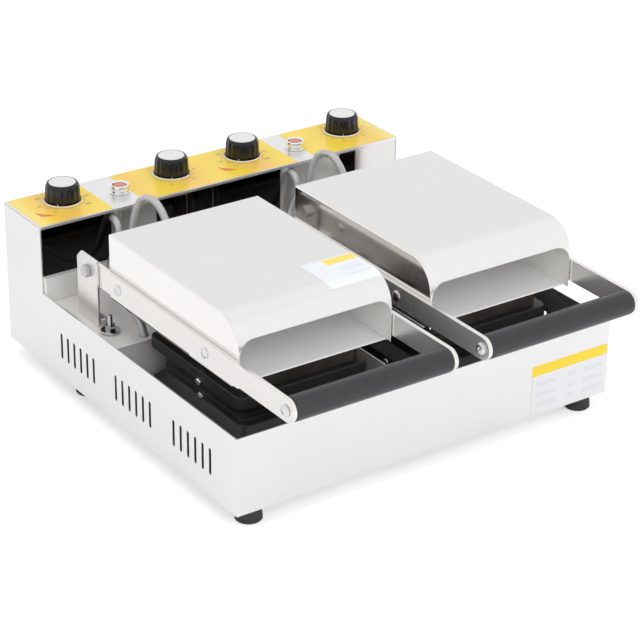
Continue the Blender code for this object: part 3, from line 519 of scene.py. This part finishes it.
low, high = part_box("control_top_panel")
panel_top = high.z
foil_front, foil_deep, foil_thick = low.y + 0.0020, 0.0840, 0.00022
foil_spans = {"left": (-0.2475, -0.1530), "middle": (-0.1110, 0.1020), "right": (0.1300, 0.2475)}
foil_yellow, wire = finish("control_foil", srgb(250, 214, 84), 0.0, 0.30)
across = place_on(wire).axis("X")
clouds = noise(wire, 11.0, stretch=(1.0, 2.0, 1.0))
warm = 0
for x, reach in ((-0.205, 0.020), (-0.035, 0.018), (-0.100, 0.012), (0.060, 0.016),
                 (0.215, 0.020)):
    warm = across.within(x - reach, x + reach, 0.018) * (clouds * 1.3 + 0.1) + warm
ends = across.bands(((-0.250, -0.236), (0.236, 0.250)), 0.010)
body_tone = mixed(warm * 0.7, srgb(253, 220, 78), srgb(249, 192, 104))
coat(wire, Base_Color=mixed(ends * 0.55, body_tone, srgb(248, 232, 150)))
for side, (x_low, x_high) in foil_spans.items():
    piece(f"control_foil_{side}", slab((x_low, foil_front, panel_top),
                                       (x_high - x_low, foil_deep, foil_thick)),
          foil_yellow, "housing", rounding=0.00006)


# ---- Dials ----
# Printed on the foils round each knob: a ring of ticks with plain numbers, and a heat wedge
# by each thermostat. The thermostats read to 300 degrees and the timers to 5 minutes.

def grained(name, colour, metallic, roughness, drift, scale, **fixed):
    """A plain finish that grows duller from its roughness, by up to the drift, in its grain."""
    made, wire = finish(name, colour, metallic, roughness, **fixed)
    coat(wire, Roughness=noise(wire, scale) * drift + roughness)
    return made


def on_circle(place, radius, angle):
    return place[0] + radius * math.cos(angle), place[1] + radius * math.sin(angle)


def skin(rings):
    """A closed shape through rings of equal count, with a flat face on each end."""
    shape = bmesh.new()
    loops = [[shape.verts.new(point) for point in ring] for ring in rings]
    for first, second in zip(loops, loops[1:]):
        for here in range(len(first)):
            after = (here + 1) % len(first)
            shape.faces.new((first[here], first[after], second[after], second[here]))
    shape.faces.new(list(reversed(loops[0])))
    shape.faces.new(loops[-1])
    bmesh.ops.recalc_face_normals(shape, faces=shape.faces)
    return shape


def tick_ring(name, place, **sizes):
    """Ticks round part of a circle, by Geometry Nodes, with the first at Start and clockwise."""
    def pattern(wire, given):
        row = wire.node("GeometryNodeMeshLine", {"Count": given["Count"]})
        step = wire.node("GeometryNodeInputIndex")
        angle = given["Start"] - given["Sweep"] * step / (given["Count"] - 1)
        spot = wire.node("ShaderNodeCombineXYZ", {
            0: wire.sum("COSINE", angle) * given["Radius"] + place[0],
            1: wire.sum("SINE", angle) * given["Radius"] + place[1], 2: place[2]})
        ring = wire.node("GeometryNodeSetPosition", {"Geometry": row, "Position": spot})
        size = wire.node("ShaderNodeCombineXYZ", {0: given["Length"], 1: given["Width"],
                                                  2: 0.00010})
        bar = wire.node("GeometryNodeMeshCube", {"Size": size})
        turn = wire.node("FunctionNodeAxisAngleToRotation", {"Axis": (0, 0, 1), "Angle": angle})
        return wire.node("GeometryNodeInstanceOnPoints", {"Points": ring, "Instance": bar,
                                                          "Rotation": turn})

    kinds = {label: ("Int" if label == "Count" else "Float", value)
             for label, value in sizes.items()}
    made = grown(name, bpy.data.meshes.new(name), kinds, pattern, ink)
    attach(made, "housing")


def figures(words, place, radius, start, sweep, size):
    """Numbers set round a dial, upright as its reader sees them, as one flat inked mesh."""
    whole = bmesh.new()
    for index, word in enumerate(words):
        angle = start - sweep * index / (len(words) - 1)
        text = bpy.data.curves.new("numbers", "FONT")
        text.body, text.size, text.extrude = word, size, 0.00004
        text.align_x, text.align_y = "CENTER", "CENTER"
        holder = bpy.data.objects.new("numbers", text)
        scene.collection.objects.link(holder)
        mesh = settled(holder)
        mesh.transform(Matrix.Translation((*on_circle(place, radius, angle), place[2])))
        whole.from_mesh(mesh)
        bpy.data.objects.remove(holder)
        bpy.data.meshes.remove(mesh)
    return whole


knob_spots = {name: middle_of(name + "_knob") for name in
              ("thermostat_left", "timer_left", "thermostat_right", "timer_right")}
dials = {"thermostat": (225, 270, 37, ["0", "50", "100", "150", "200", "250", "300"]),
         "timer": (240, 300, 31, ["0", "1", "2", "3", "4", "5"])}
number_radius, number_size = 0.0305, 0.0052
wedge_corners = [(-0.042, -0.026), (-0.026, -0.032), (-0.044, -0.012)]
ink_level = panel_top + 0.00020
ink = grained("dial_ink", srgb(70, 62, 48), 0.0, 0.35, 0.2, 900.0)
wedge_ink, wire = finish("wedge_ink", srgb(234, 112, 66), 0.0, 0.40)
coat(wire, Base_Color=mixed(noise(wire, 260.0), srgb(228, 96, 56), srgb(242, 146, 84)))
for knob, spot in knob_spots.items():
    zero, turn, ticks, words = dials[knob.split("_")[0]]
    start, sweep = math.radians(zero), math.radians(turn)
    seat = (spot.x, spot.y, ink_level)
    tick_ring(f"dial_ticks_{knob}", seat, Count=ticks, Radius=0.0252, Start=start, Sweep=sweep,
              Length=0.0022, Width=0.0004)
    piece(f"dial_numbers_{knob}", figures(words, seat, number_radius, start, sweep, number_size),
          ink, "housing")
    if knob.startswith("thermostat"):
        wedge = skin([[(spot.x + x, spot.y + y, level) for x, y in wedge_corners]
                      for level in (ink_level, ink_level + 0.00008)])
        piece(f"heat_wedge_{knob}", wedge, wedge_ink, "housing")


# ---- Thermostats, timers and their knobs ----
# Gloss black knobs pushed on the switches' shafts: a fluted grip that tapers upwards over a
# thin skirt with a chrome edge, a white pointer line, and a spun aluminium disc on top.

bakelite = grained("switch_bakelite", (0.050, 0.040, 0.035), 0.0, 0.45, 0.2, 500.0)
gloss_black = grained("knob_black", (0.008, 0.008, 0.009), 0.0, 0.09, 0.10, 220.0,
                      Specular_IOR_Level=0.42)
chrome = grained("chrome", (0.88, 0.88, 0.89), 1.0, 0.04, 0.06, 60.0)
pointer_white = grained("pointer_white", (0.86, 0.86, 0.84), 0.0, 0.35, 0.2, 700.0)


def repaint(node, look):
    """A solid that shows as it is, in a finish of its own."""
    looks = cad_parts[node].data.materials
    looks.clear()
    looks.append(look)


def fluted_grip(place, sizes, flutes, depth):
    """The knob's grip: rings of (radius, height, share of the depth) that dip at each flute."""
    sides = flutes * 8
    rings = []
    for radius, level, share in sizes:
        ring = []
        for side in range(sides):
            angle = math.tau * side / sides
            dip = depth * share * (0.5 - 0.5 * math.cos(angle * flutes)) ** 2
            ring.append((*on_circle(place, radius - dip, angle), place[2] + level))
        rings.append(ring)
    return skin(rings)


for knob, spot in knob_spots.items():
    body = knob + "_knob"
    repaint(knob + "_body", bakelite)
    low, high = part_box(body)
    seat = (spot.x, spot.y, low.z)
    tall = high.z - low.z
    grip_rings = [(0.0198, 0.0034, 0.0), (0.0205, 0.0042, 0.8), (0.0204, 0.0080, 1.0),
                  (0.0200, tall - 0.0075, 1.0), (0.0197, tall - 0.0046, 0.9),
                  (0.0191, tall - 0.0024, 0.5), (0.0180, tall - 0.0008, 0.1),
                  (0.0170, tall - 0.0002, 0.0), (0.0159, tall - 0.0002, 0.0)]
    piece(f"{knob}_grip", fluted_grip(seat, grip_rings, 14, 0.0012), gloss_black, body, [body],
          sharp=38, slot="knob")
    skirt = [(0, 0.0001), (0.0215, 0.0001), (0.0218, 0.0030), (0.0198, 0.0036), (0, 0.0036)]
    piece(f"{knob}_skirt", turned(skirt, 64, seat), gloss_black, body, slot="knob")
    rim = [(0.0216, 0.0002), (0.0225, 0.0002), (0.0225, 0.0020), (0.0219, 0.0026),
           (0.0216, 0.0002)]
    piece(f"{knob}_rim", turned(rim, 64, seat), chrome, body, slot="bright_steel")
    spun, wire = finish(f"spun_disc_{knob}", (0.86, 0.86, 0.87), 1.0, 0.26)
    radial = wire.node("ShaderNodeVectorMath", {0: place_on(wire, centre=seat)}, "Value",
                       operation="LENGTH")
    turning = wire.node("ShaderNodeTexNoise", {"W": radial, "Scale": 3200.0, "Detail": 3.0},
                        noise_dimensions="1D")
    coat(wire, Base_Color=mixed(turning, (0.78, 0.78, 0.79), (0.92, 0.92, 0.93)),
         Roughness=turning * 0.22 + 0.16)
    disc = [(0, tall - 0.0010), (0.0157, tall - 0.0010), (0.0157, tall - 0.0003),
            (0.0153, tall), (0, tall)]
    piece(f"{knob}_disc", turned(disc, 64, seat), spun, body, slot="bright_steel")
    zero = math.radians(dials[knob.split("_")[0]][0])
    line = slab((0.0188, -0.0005, 0.0031), (0.0026, 0.0010, 0.0006))
    bmesh.ops.rotate(line, verts=line.verts, cent=(0, 0, 0), matrix=Matrix.Rotation(zero, 3, "Z"))
    bmesh.ops.translate(line, verts=line.verts, vec=seat)
    piece(f"{knob}_pointer", line, pointer_white, body, slot="knob")


# ---- Signal lamps ----
# A chromed bezel clipped through the top panel round a clear-orange lens, which sits a
# little below its lip and has fine moulded ribs inside; a neon glows under it.

amber, wire = finish("lamp_amber", srgb(206, 104, 62), 0.0, 0.14, Coat_Weight=0.6,
                     Emission_Color=(*srgb(255, 120, 50), 1.0), Emission_Strength=0.02)
ribs = wire.node("ShaderNodeTexVoronoi", {"Vector": place_on(wire), "Scale": 900.0})
coat(wire, Base_Color=mixed(ribs * 2.2, srgb(146, 56, 26), srgb(206, 116, 76)))
lens_radius, lens_crown = 0.0080, 0.0016
both_sides = ("left", "right")
for side in both_sides:
    x, y, _ = middle_of("lamp_bezel_" + side)
    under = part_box("lamp_bezel_" + side)[0].z
    lens_low, lens_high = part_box("lamp_lens_" + side)
    foot, top = panel_top, lens_high.z - 0.0004
    ring = [(0.0083, under), (0.0085, under), (0.0085, foot + 0.0003), (0.0121, foot + 0.0003),
            (0.0121, foot + 0.0009), (0.0113, foot + 0.0014), (0.0110, foot + 0.0040),
            (0.0117, foot + 0.0052), (0.0119, top - 0.0012), (0.0115, top - 0.0003),
            (0.0107, top), (0.0092, top), (0.0083, top - 0.0014), (0.0083, under)]
    piece(f"lamp_ring_{side}", turned(ring, 56, (x, y, 0)), chrome, "housing",
          ["lamp_bezel_" + side], slot="bright_steel")
    rim_level = top - 0.0024
    dome = [(0, lens_low.z), (lens_radius, lens_low.z), (lens_radius, rim_level)]
    for step in range(1, 9):
        lean = math.pi / 2 * step / 8
        dome.append((lens_radius * math.cos(lean), rim_level + lens_crown * math.sin(lean)))
    piece(f"lamp_dome_{side}", turned(dome, 48, (x, y, 0)), amber, "housing",
          ["lamp_lens_" + side], sharp=50, slot="lens")


# ---- Lower moulds and their heating blocks ----
# Cast aluminium with a baked black non-stick coat: two three-cornered pockets beside a
# diagonal ridge. Domed chrome screws in the sides hold the mould to the block under it.

cast_black, wire = finish("cast_black", (0.014, 0.014, 0.015), 0.0, 0.40)
sand, wear = noise(wire, 1300.0, 3.0), noise(wire, 42.0, 4.0)
coat(wire, Base_Color=mixed(wear, (0.008, 0.008, 0.009), (0.028, 0.028, 0.029)),
     Roughness=sand * 0.16 + wear * 0.16 + 0.24, Normal=bumped(sand, 0.00012, 0.5))
block_steel, wire = finish("heating_block", (0.10, 0.095, 0.09), 1.0, 0.5)
heat_tint = noise(wire, 26.0, 3.0)
coat(wire, Base_Color=mixed(heat_tint, (0.07, 0.065, 0.06), (0.17, 0.15, 0.13)),
     Roughness=heat_tint * 0.25 + 0.35)
cast_screw = (0.0046, 0.0028)


def side_spots(node, places):
    """A spot on each long side at each (y, height above the foot, inset of the face)."""
    low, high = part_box(node)
    spots = []
    for y, height, inward in places:
        spots.append(((low.x + inward, y, low.z + height), (-1, 0, 0)))
        spots.append(((high.x - inward, y, low.z + height), (1, 0, 0)))
    return spots


for side in both_sides:
    repaint("lower_heater_" + side, block_steel)
    mould = "lower_mould_" + side
    own_shape(f"lower_casting_{side}", mould, cast_black, 0.0012, slot="casting", steps=3)
    fasteners(f"lower_casting_screws_{side}", pan_head(*cast_screw),
              side_spots(mould, [(-0.0640, 0.0255, 0.011), (-0.0820, 0.0070, 0)]),
              chrome, 11)


# ---- Hinge brackets and pivot bolts ----
# Bent stainless angles screwed to the deck, with a clipped rear corner. Each arm turns on a
# hexagon bolt through its bracket, with a nut inside the arm.

bracket_steel = brushed_steel("bracket_steel", (0.86, 0.84, 0.82), (500, 14, 900), 0.30, 0.05,
                              0.06, 0.08)
bolt_steel = brushed_steel("bolt_steel", (0.60, 0.60, 0.61), (260, 260, 260), 0.14, 0.06, 0.04)
bracket_screw = (0.0032, 0.0018)
each_arm = [(head, hand) for head in both_sides for hand in both_sides]
for head, hand in each_arm:
    name = f"{head}_{hand}"
    own_shape(f"bracket_{name}", "hinge_bracket_" + name, bracket_steel, 0.0004,
              slot="bright_steel")
    own_shape(f"bolt_{name}", "pivot_bolt_" + name, bolt_steel, 0.0005,
              slot="bright_steel", steps=3)
    low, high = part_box("hinge_bracket_" + name)
    foot_x = high.x - 0.0065 if hand == "left" else low.x + 0.0065
    foot_top = low.z + 0.0025
    fasteners(f"bracket_screws_{name}", pan_head(*bracket_screw),
              [((foot_x, y, foot_top), (0, 0, 1)) for y in (low.y + 0.009, high.y - 0.009)],
              screw_steel, 17)


# ---- Deck studs ----
# A threaded stud through the deck by each head, clamped by a plain washer and a hexagon nut.
# It is turned from bright bar.

thread_pitch, crest, root = 0.0008, 0.0030, 0.0026
for side in both_sides:
    low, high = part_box("deck_stud_" + side)
    x, y, _ = (low + high) / 2
    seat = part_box("hinge_deck")[1].z + 0.0003
    stud = turned([(0, seat), (0.0108, seat), (0.0115, seat + 0.0006), (0.0115, seat + 0.0024),
                   (0.0108, seat + 0.0030), (0, seat + 0.0030)], 40, (x, y, 0))
    nut = [[(*on_circle((x, y), reach, turn * math.pi / 3), seat + level) for turn in range(6)]
           for level, reach in ((0.0029, 0.0060), (0.0035, 0.0065), (0.0085, 0.0065),
                                (0.0091, 0.0060))]
    thread = [(0, low.z), (0.0027, low.z)]
    level = seat + 0.0088
    while level < high.z - 0.0012:
        thread += [(crest, level + 0.0003), (root, level + 0.0007)]
        level += thread_pitch
    thread += [(0.0027, high.z - 0.0005), (0.0021, high.z), (0, high.z)]
    whole = bpy.data.meshes.new("stud_part")
    for part in (skin(nut), turned(thread, 24, (x, y, 0))):
        part.to_mesh(whole)
        part.free()
        stud.from_mesh(whole)
    bpy.data.meshes.remove(whole)
    piece(f"stud_{side}", stud, bolt_steel, "housing", ["deck_stud_" + side],
          slot="bright_steel")


# ---- Lid covers ----
# Each lid's hood is 1.2 mm stainless, folded down at both cheeks and rolled over at the
# front, where an opening with round corners is cut. It is satin outside and pale inside.

cover_sheet, roll, fold, arc_steps = 0.0012, 0.036, 0.0018, 26
opening_drop, opening_leg, opening_corner, past = 0.024, 0.002, 0.018, 0.004


def hood_steel(side):
    """Satin top; roll and glossier cheeks painted lighter as painted light; pale and dull inside.
    """
    low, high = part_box("lid_cover_" + side)
    made, wire = finish("hood_steel_" + side, (0.88, 0.88, 0.87), 1.0, 0.30)
    across = place_on(wire).axis("X")
    ahead = wire.sum("MAXIMUM", low.y + roll - place_on(wire).axis("Y"), 0)
    above = wire.sum("MAXIMUM", place_on(wire).axis("Z") - (high.z - roll), 0)
    depth = (ahead * ahead + above * above) ** 0.5
    # Painted sheen: the front of the roll is painted lighter than the flat top.
    roll_sheen_mask = wire.node("ShaderNodeMapRange", {"Value": ahead, "From Max": roll / 3})
    half = cover_sheet / 2
    inside = (depth < roll - half) * across.within(low.x + half, high.x - half, 0.0001)
    cheek = (1 - across.within(low.x + 0.0013, high.x - 0.0013, 0.0003)) * (1 - inside)
    lines, smears = hairlines(wire, (900, 10, 900)), wiped_smears(wire)
    satin = mixed(lines * 0.6 + smears * 0.4, (0.78, 0.78, 0.77), (0.86, 0.86, 0.85))
    # Painted light: the cheeks are painted lighter than the top, though they are the same sheet.
    bright = mixed(smears, (0.89, 0.87, 0.85), (0.94, 0.92, 0.90))
    outside = mixed(cheek, mixed(roll_sheen_mask, satin, (0.92, 0.92, 0.91)), bright)
    coat(wire, Base_Color=mixed(inside, outside, (0.97, 0.96, 0.94)),
         Metallic=1 - inside * 0.85,
         Roughness=((lines - 0.5) * 0.06 + (smears - 0.5) * 0.05 + 0.30
                    - cheek * 0.19 + inside * 0.15),
         Normal=bumped(lines, 0.00003, 0.2))
    return made


def arc(centre, radius, first, steps, quarter=math.pi / 2):
    """Points of a quarter circle about a centre, from a first quarter on."""
    return [on_circle(centre, radius, quarter * (first + step / steps))
            for step in range(steps + 1)]


def hood(low, high, inset, foot, rear, fold_radius):
    """The hood's outside, or its hollow when inset: flat top, rolled front, folded cheeks."""
    ends = [(fold_radius - along, fold_radius - drop)
            for along, drop in arc((0, 0), fold_radius, 0, 5)]
    cheeks = [(low.x + inset + along, inset + drop) for along, drop in ends]
    cheeks += [(high.x - inset - along, inset + drop) for along, drop in reversed(ends)]
    rings = []
    for place, depth in cheeks:
        front, top, radius = low.y + depth, high.z - depth, roll - depth
        ring = [(rear, foot), (rear, top), *arc((front + radius, top - radius), radius, 1,
                                                arc_steps), (front, foot)]
        rings.append([(place, y, z) for y, z in ring])
    return skin(rings)


def carved(whole, cuts):
    """What is left of a shape when the others are cut out of it."""
    holders = []
    for shape in [whole, *cuts]:
        mesh = bpy.data.meshes.new("carved")
        shape.to_mesh(mesh)
        shape.free()
        holders.append(bpy.data.objects.new("carved", mesh))
        scene.collection.objects.link(holders[-1])
    for cutter in holders[1:]:
        change = holders[0].modifiers.new("Cut", "BOOLEAN")
        change.operation, change.solver, change.object = "DIFFERENCE", "EXACT", cutter
    result = bmesh.new()
    result.from_mesh(settled(holders[0]))
    for holder in holders:
        bpy.data.objects.remove(holder)
    return result


for side in both_sides:
    low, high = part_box("lid_cover_" + side)
    shell = hood(low, high, 0.0, low.z, high.y, fold)
    hollow = hood(low, high, cover_sheet, low.z - past, high.y + past,
                  fold - cover_sheet + 0.0002)
    left, right = low.x + opening_leg, high.x - opening_leg
    corner_z = high.z - opening_drop - opening_corner
    outline = arc((right - opening_corner, corner_z), opening_corner, 0, 8)
    outline += arc((left + opening_corner, corner_z), opening_corner, 1, 8)
    outline += [(left, low.z - 0.01), (right, low.z - 0.01)]
    opening = skin([[(x, y, z) for x, z in outline]
                    for y in (low.y - past, low.y + cover_sheet + past)])
    piece(f"hood_{side}", carved(shell, [hollow, opening]), hood_steel(side), "lid_" + side,
          ["lid_cover_" + side], rounding=0.00025, sharp=40, slot="steel")


# ---- Cover plate ----
# The same thin foil as the front plate's, stuck on the left head's cover and bent over the
# start of its roll: a short yellow band behind and a few grey rules.

label_left, label_right, label_rear = -0.0925, -0.0265, -0.1005
label_over, label_thick = 0.48, 0.0003
low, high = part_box("lid_cover_left")
label_front = low.y + roll
foil_white = srgb(236, 240, 247)
plate_foil, wire = finish("cover_plate_foil", foil_white, 0.0, 0.30)
across, along = place_on(wire).axis("X"), place_on(wire).axis("Y")
lines = [label_front + line for line in (-0.0040, -0.0015, 0.0080, 0.0105, 0.0130, 0.0180)]
white = ruled(along, lines, across, [(label_left + 0.030, label_left + 0.060)], 0.5,
              foil_white, srgb(165, 170, 185))
band = (across.within(label_left + 0.026, label_left + 0.0655, 0.0002)
        * along.within(label_rear - 0.0150, label_rear - 0.0020, 0.0002))
coat(wire, Base_Color=mixed(band, white, srgb(248, 226, 96)))
profile = [(label_rear, high.z, 0.0)]
for step in range(11):
    lean = label_over * step / 10
    profile.append((label_front - roll * math.sin(lean), high.z - roll * (1 - math.cos(lean)),
                    lean))
rings = []
for x in (label_left, label_right):
    outer = [(x, y - label_thick * math.sin(lean), z + label_thick * math.cos(lean))
             for y, z, lean in profile]
    rings.append(outer + [(x, y, z) for y, z, _ in reversed(profile)])
piece("cover_plate", skin(rings), plate_foil, "lid_left", sharp=40)


# ---- Head plates ----
# The lid's base: a 2 mm pale sheet that closes the hood from below and turns up behind it.
# Its underside is dark; a band of its top over the block is painted dark, as painted shade.

plate_white, wire = finish("plate_satin", (0.95, 0.95, 0.94), 0.05, 0.45)
hair, wiped = noise(wire, 1.0, 3.0, 0.6, (900, 10, 900)), noise(wire, 12.0, 3.0)
satin = mixed(hair * 0.5 + wiped * 0.5, (0.93, 0.93, 0.92), (0.98, 0.98, 0.97))
under = place_on(wire).axis("Z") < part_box("head_plate_left")[0].z + 0.0003
# Painted shade: this band of the top, deep under the hood, is darkened to stand for the shade
# inside the hood; the underside is dark too.
painted_shade_band = place_on(wire).axis("Y").within(-0.083, 0.082, 0.0015)
dark = mixed(under, (0.20, 0.185, 0.17), (0.050, 0.045, 0.042))
coat(wire, Base_Color=mixed(1 - (1 - under) * (1 - painted_shade_band), satin, dark),
     Roughness=hair * 0.1 + wiped * 0.1 + 0.36)
for side in both_sides:
    own_shape(f"plate_{side}", "head_plate_" + side, plate_white, 0.0003, "lid_" + side)


# ---- Upper moulds and their heating blocks ----
# The lower casting's twin, turned over and hung under the head plate on its block. One screw
# shows in each side of the casting and one in each side of the block.

for side in both_sides:
    repaint("upper_heater_" + side, block_steel)
    mould = "upper_mould_" + side
    own_shape(f"upper_casting_{side}", mould, cast_black, 0.0012, "lid_" + side, "casting",
              steps=3)
    spots = side_spots(mould, [(-0.0782, 0.0190, 0)])
    spots += side_spots("upper_heater_" + side, [(-0.0728, 0.0046, 0)])
    fasteners(f"upper_casting_screws_{side}", pan_head(*cast_screw), spots, chrome, 13,
              "lid_" + side)


# ---- Arms ----
# Flat 5 mm stainless bars with round ends, one on each cheek of a hood, held to it by two
# pan-head screws. They are satin from the belt.

arm_steel = brushed_steel("arm_steel", (0.86, 0.84, 0.82), (300, 8, 300), 0.27, 0.01, 0.03, 0.0,
                          0.98, metallic=0.80)
arm_screw = (0.0062, 0.0020)
for head, hand in each_arm:
    node = f"arm_{head}_{hand}"
    own_shape(f"arm_bar_{head}_{hand}", node, arm_steel, 0.0005, "lid_" + head, sharp=40,
              steps=3)
    low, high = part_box(node)
    face, facing = (low.x, (-1, 0, 0)) if hand == "left" else (high.x, (1, 0, 0))
    spots = [((face, y, (low.z + high.z) / 2), facing) for y in (0.0566, -0.1232)]
    fasteners(f"arm_screws_{head}_{hand}", pan_head(*arm_screw), spots, screw_steel, 19,
              "lid_" + head)


# ---- Grips and their rods ----
# A charcoal tube of moulded phenolic between the arms, with a steel rod through it whose
# domed ends are peened over a dimple outside the arms.

def mirrored(half):
    """A profile of (radius, along) up to its middle, and the same again turned round."""
    return half + [(radius, -along) for radius, along in reversed(half)]


grip_black, wire = finish("grip_phenolic", srgb(44, 44, 48), 0.0, 0.30)
swirl, pores = noise(wire, 60.0, 3.0, stretch=(0.35, 1, 1)), noise(wire, 900.0)
coat(wire, Base_Color=mixed(swirl, srgb(38, 38, 42), srgb(50, 50, 54)),
     Roughness=swirl * 0.10 + pores * 0.08 + 0.25, Normal=bumped(pores, 0.00005, 0.3))
for side in both_sides:
    low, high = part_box("grip_" + side)
    place = tuple((low + high) / 2)
    end, radius = (low.x - high.x) / 2, (high.z - low.z) / 2
    tube = mirrored([(0.0034, end), (radius - 0.0024, end), (radius - 0.0009, end + 0.0005),
                     (radius - 0.0001, end + 0.0018), (radius, end + 0.0040)])
    piece(f"grip_tube_{side}", turned([*tube, tube[0]], 72, place, "X"), grip_black,
          "lid_" + side, ["grip_" + side], sharp=50, slot="grip")
    low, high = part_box("handle_rod_" + side)
    tip = (low.x - high.x) / 2
    rod = mirrored([(0, tip + 0.0010), (0.0016, tip + 0.0008), (0.0024, tip),
                    (0.0046, tip + 0.0003), (0.0061, tip + 0.0011), (0.0068, tip + 0.0024),
                    (0.0068, tip + 0.0030), (0.0030, tip + 0.0030)])
    piece(f"rod_{side}", turned(rod, 48, place, "X"), screw_steel, "lid_" + side,
          ["handle_rod_" + side], sharp=50, slot="bright_steel")


# ---- Conduits ----
# Braided metal sleeves with the heater wires inside. One drops from the control box over
# the deck to each lower block; the other loops up into each lid, loose enough to let it swing.

sleeve, wire = finish("conduit_braid", (0.62, 0.62, 0.63), 0.8, 0.38)
woven = wire.node("ShaderNodeTexCoord", output="UV")
round_it, down_it = woven.axis("X"), woven.axis("Y")
strand = 0
for lean in (700.0, -700.0):
    wave = wire.sum("SINE", (round_it * 12.0 + down_it * lean) * math.pi)
    strand = wave * wave + strand
tangle = noise(wire, 500.0)
coat(wire, Base_Color=mixed(strand * 0.36 + tangle * 0.3, (0.34, 0.34, 0.345),
                            (0.86, 0.86, 0.865)),
     Roughness=tangle * 0.2 + 0.28, Normal=bumped(strand, 0.00025, 0.6))
conduit_radius = 0.0045


def eased(knots, steps):
    """Points of a smooth curve through the knots; a short span keeps its direction best."""
    spans = [after - before for before, after in zip(knots, knots[1:])]
    leans = [spans[0].normalized()]
    for before, after in zip(spans, spans[1:]):
        leans.append((before.normalized() * after.length + after.normalized() * before.length)
                     .normalized())
    leans.append(spans[-1].normalized())
    points = []
    for start_at, span, lean, next_lean in zip(knots, spans, leans, leans[1:]):
        for step in range(steps):
            t = step / steps
            points.append(start_at + span * (3 * t ** 2 - 2 * t ** 3)
                          + lean * span.length * (t - 2 * t ** 2 + t ** 3)
                          + next_lean * span.length * (t ** 3 - t ** 2))
    return points + [knots[-1]]


def sleeved(route, radius, sides=20):
    """A round tube along a route, its UV running round it and along it in metres."""
    rings, run, travelled = [], [], 0.0
    side_way = Vector((1, 0, 0))
    for index, point in enumerate(route):
        ahead = route[min(index + 1, len(route) - 1)] - route[max(index - 1, 0)]
        ahead.normalize()
        side_way = (side_way - ahead * side_way.dot(ahead)).normalized()
        up_way = ahead.cross(side_way)
        if index:
            travelled += (point - route[index - 1]).length
        run.append(travelled)
        turns = [math.tau * side / sides for side in range(sides)]
        rings.append([point + radius * (side_way * math.cos(turn) + up_way * math.sin(turn))
                      for turn in turns])
    shape = skin(rings)
    layer = shape.loops.layers.uv.new("along")
    shape.verts.index_update()
    for index, face in enumerate(list(shape.faces)[:-2]):
        side = index % sides
        for corner in face.loops:
            row, column = divmod(corner.vert.index, sides)
            corner[layer].uv = ((side + (column != side)) / sides, run[row])
    return shape, travelled


# Each knot is (x from the head's middle, y, z).
routes = {
    "lower": [(-0.032, 0.1939, 0.1815), (-0.032, 0.1909, 0.1815), (-0.0325, 0.1789, 0.1765),
              (-0.034, 0.1739, 0.1645), (-0.046, 0.1719, 0.137), (-0.062, 0.1449, 0.119),
              (-0.069, 0.0979, 0.1175), (-0.0733, 0.069, 0.116), (-0.074, 0.058, 0.111),
              (-0.074, 0.0529, 0.0995), (-0.074, 0.0529, 0.09)],
    "lid": [(-0.0245, 0.1699, 0.09), (-0.0245, 0.1699, 0.1), (-0.0245, 0.1699, 0.11),
            (-0.001, 0.1529, 0.211), (0.004, 0.1129, 0.174), (0.004, 0.0929, 0.164),
            (0.004, 0.0829, 0.164), (0.004, 0.0729, 0.164)]}
for side in both_sides:
    centre = middle_of("lid_cover_" + side).x
    for kind, knots in routes.items():
        route = eased([Vector((centre + x, y, z)) for x, y, z in knots], 9)
        shape, length = sleeved(route, conduit_radius)
        made = piece(f"{kind}_sleeve_{side}", shape, sleeve,
                     "housing" if kind == "lower" else None, [f"{kind}_conduit_{side}"],
                     sharp=60, slot="conduit")
        if kind == "lid":
            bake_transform(made)


# ---- Cord gland ----
# A moulded rubber bush pushed into the back for the mains supply, with three shallow rings
# round it.

low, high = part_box("cord_gland")
x, _, z = (low + high) / 2
inner, outer = low.y, high.y
bush = [(0.0040, inner), (0.0080, inner), (0.0080, outer - 0.0117), (0.0110, outer - 0.0117),
        (0.0110, outer - 0.0092), (0.0103, outer - 0.0086), (0.0103, outer - 0.0078),
        (0.0109, outer - 0.0072), (0.0108, outer - 0.0054), (0.0101, outer - 0.0048),
        (0.0101, outer - 0.0041), (0.0106, outer - 0.0034), (0.0082, outer - 0.0003),
        (0.0074, outer), (0.0044, outer), (0.0040, outer - 0.0004), (0.0040, inner)]
piece("gland_bush", turned(bush, 40, (x, 0, z), "Y"), rubber, "housing", ["cord_gland"],
      sharp=50, slot="rubber")
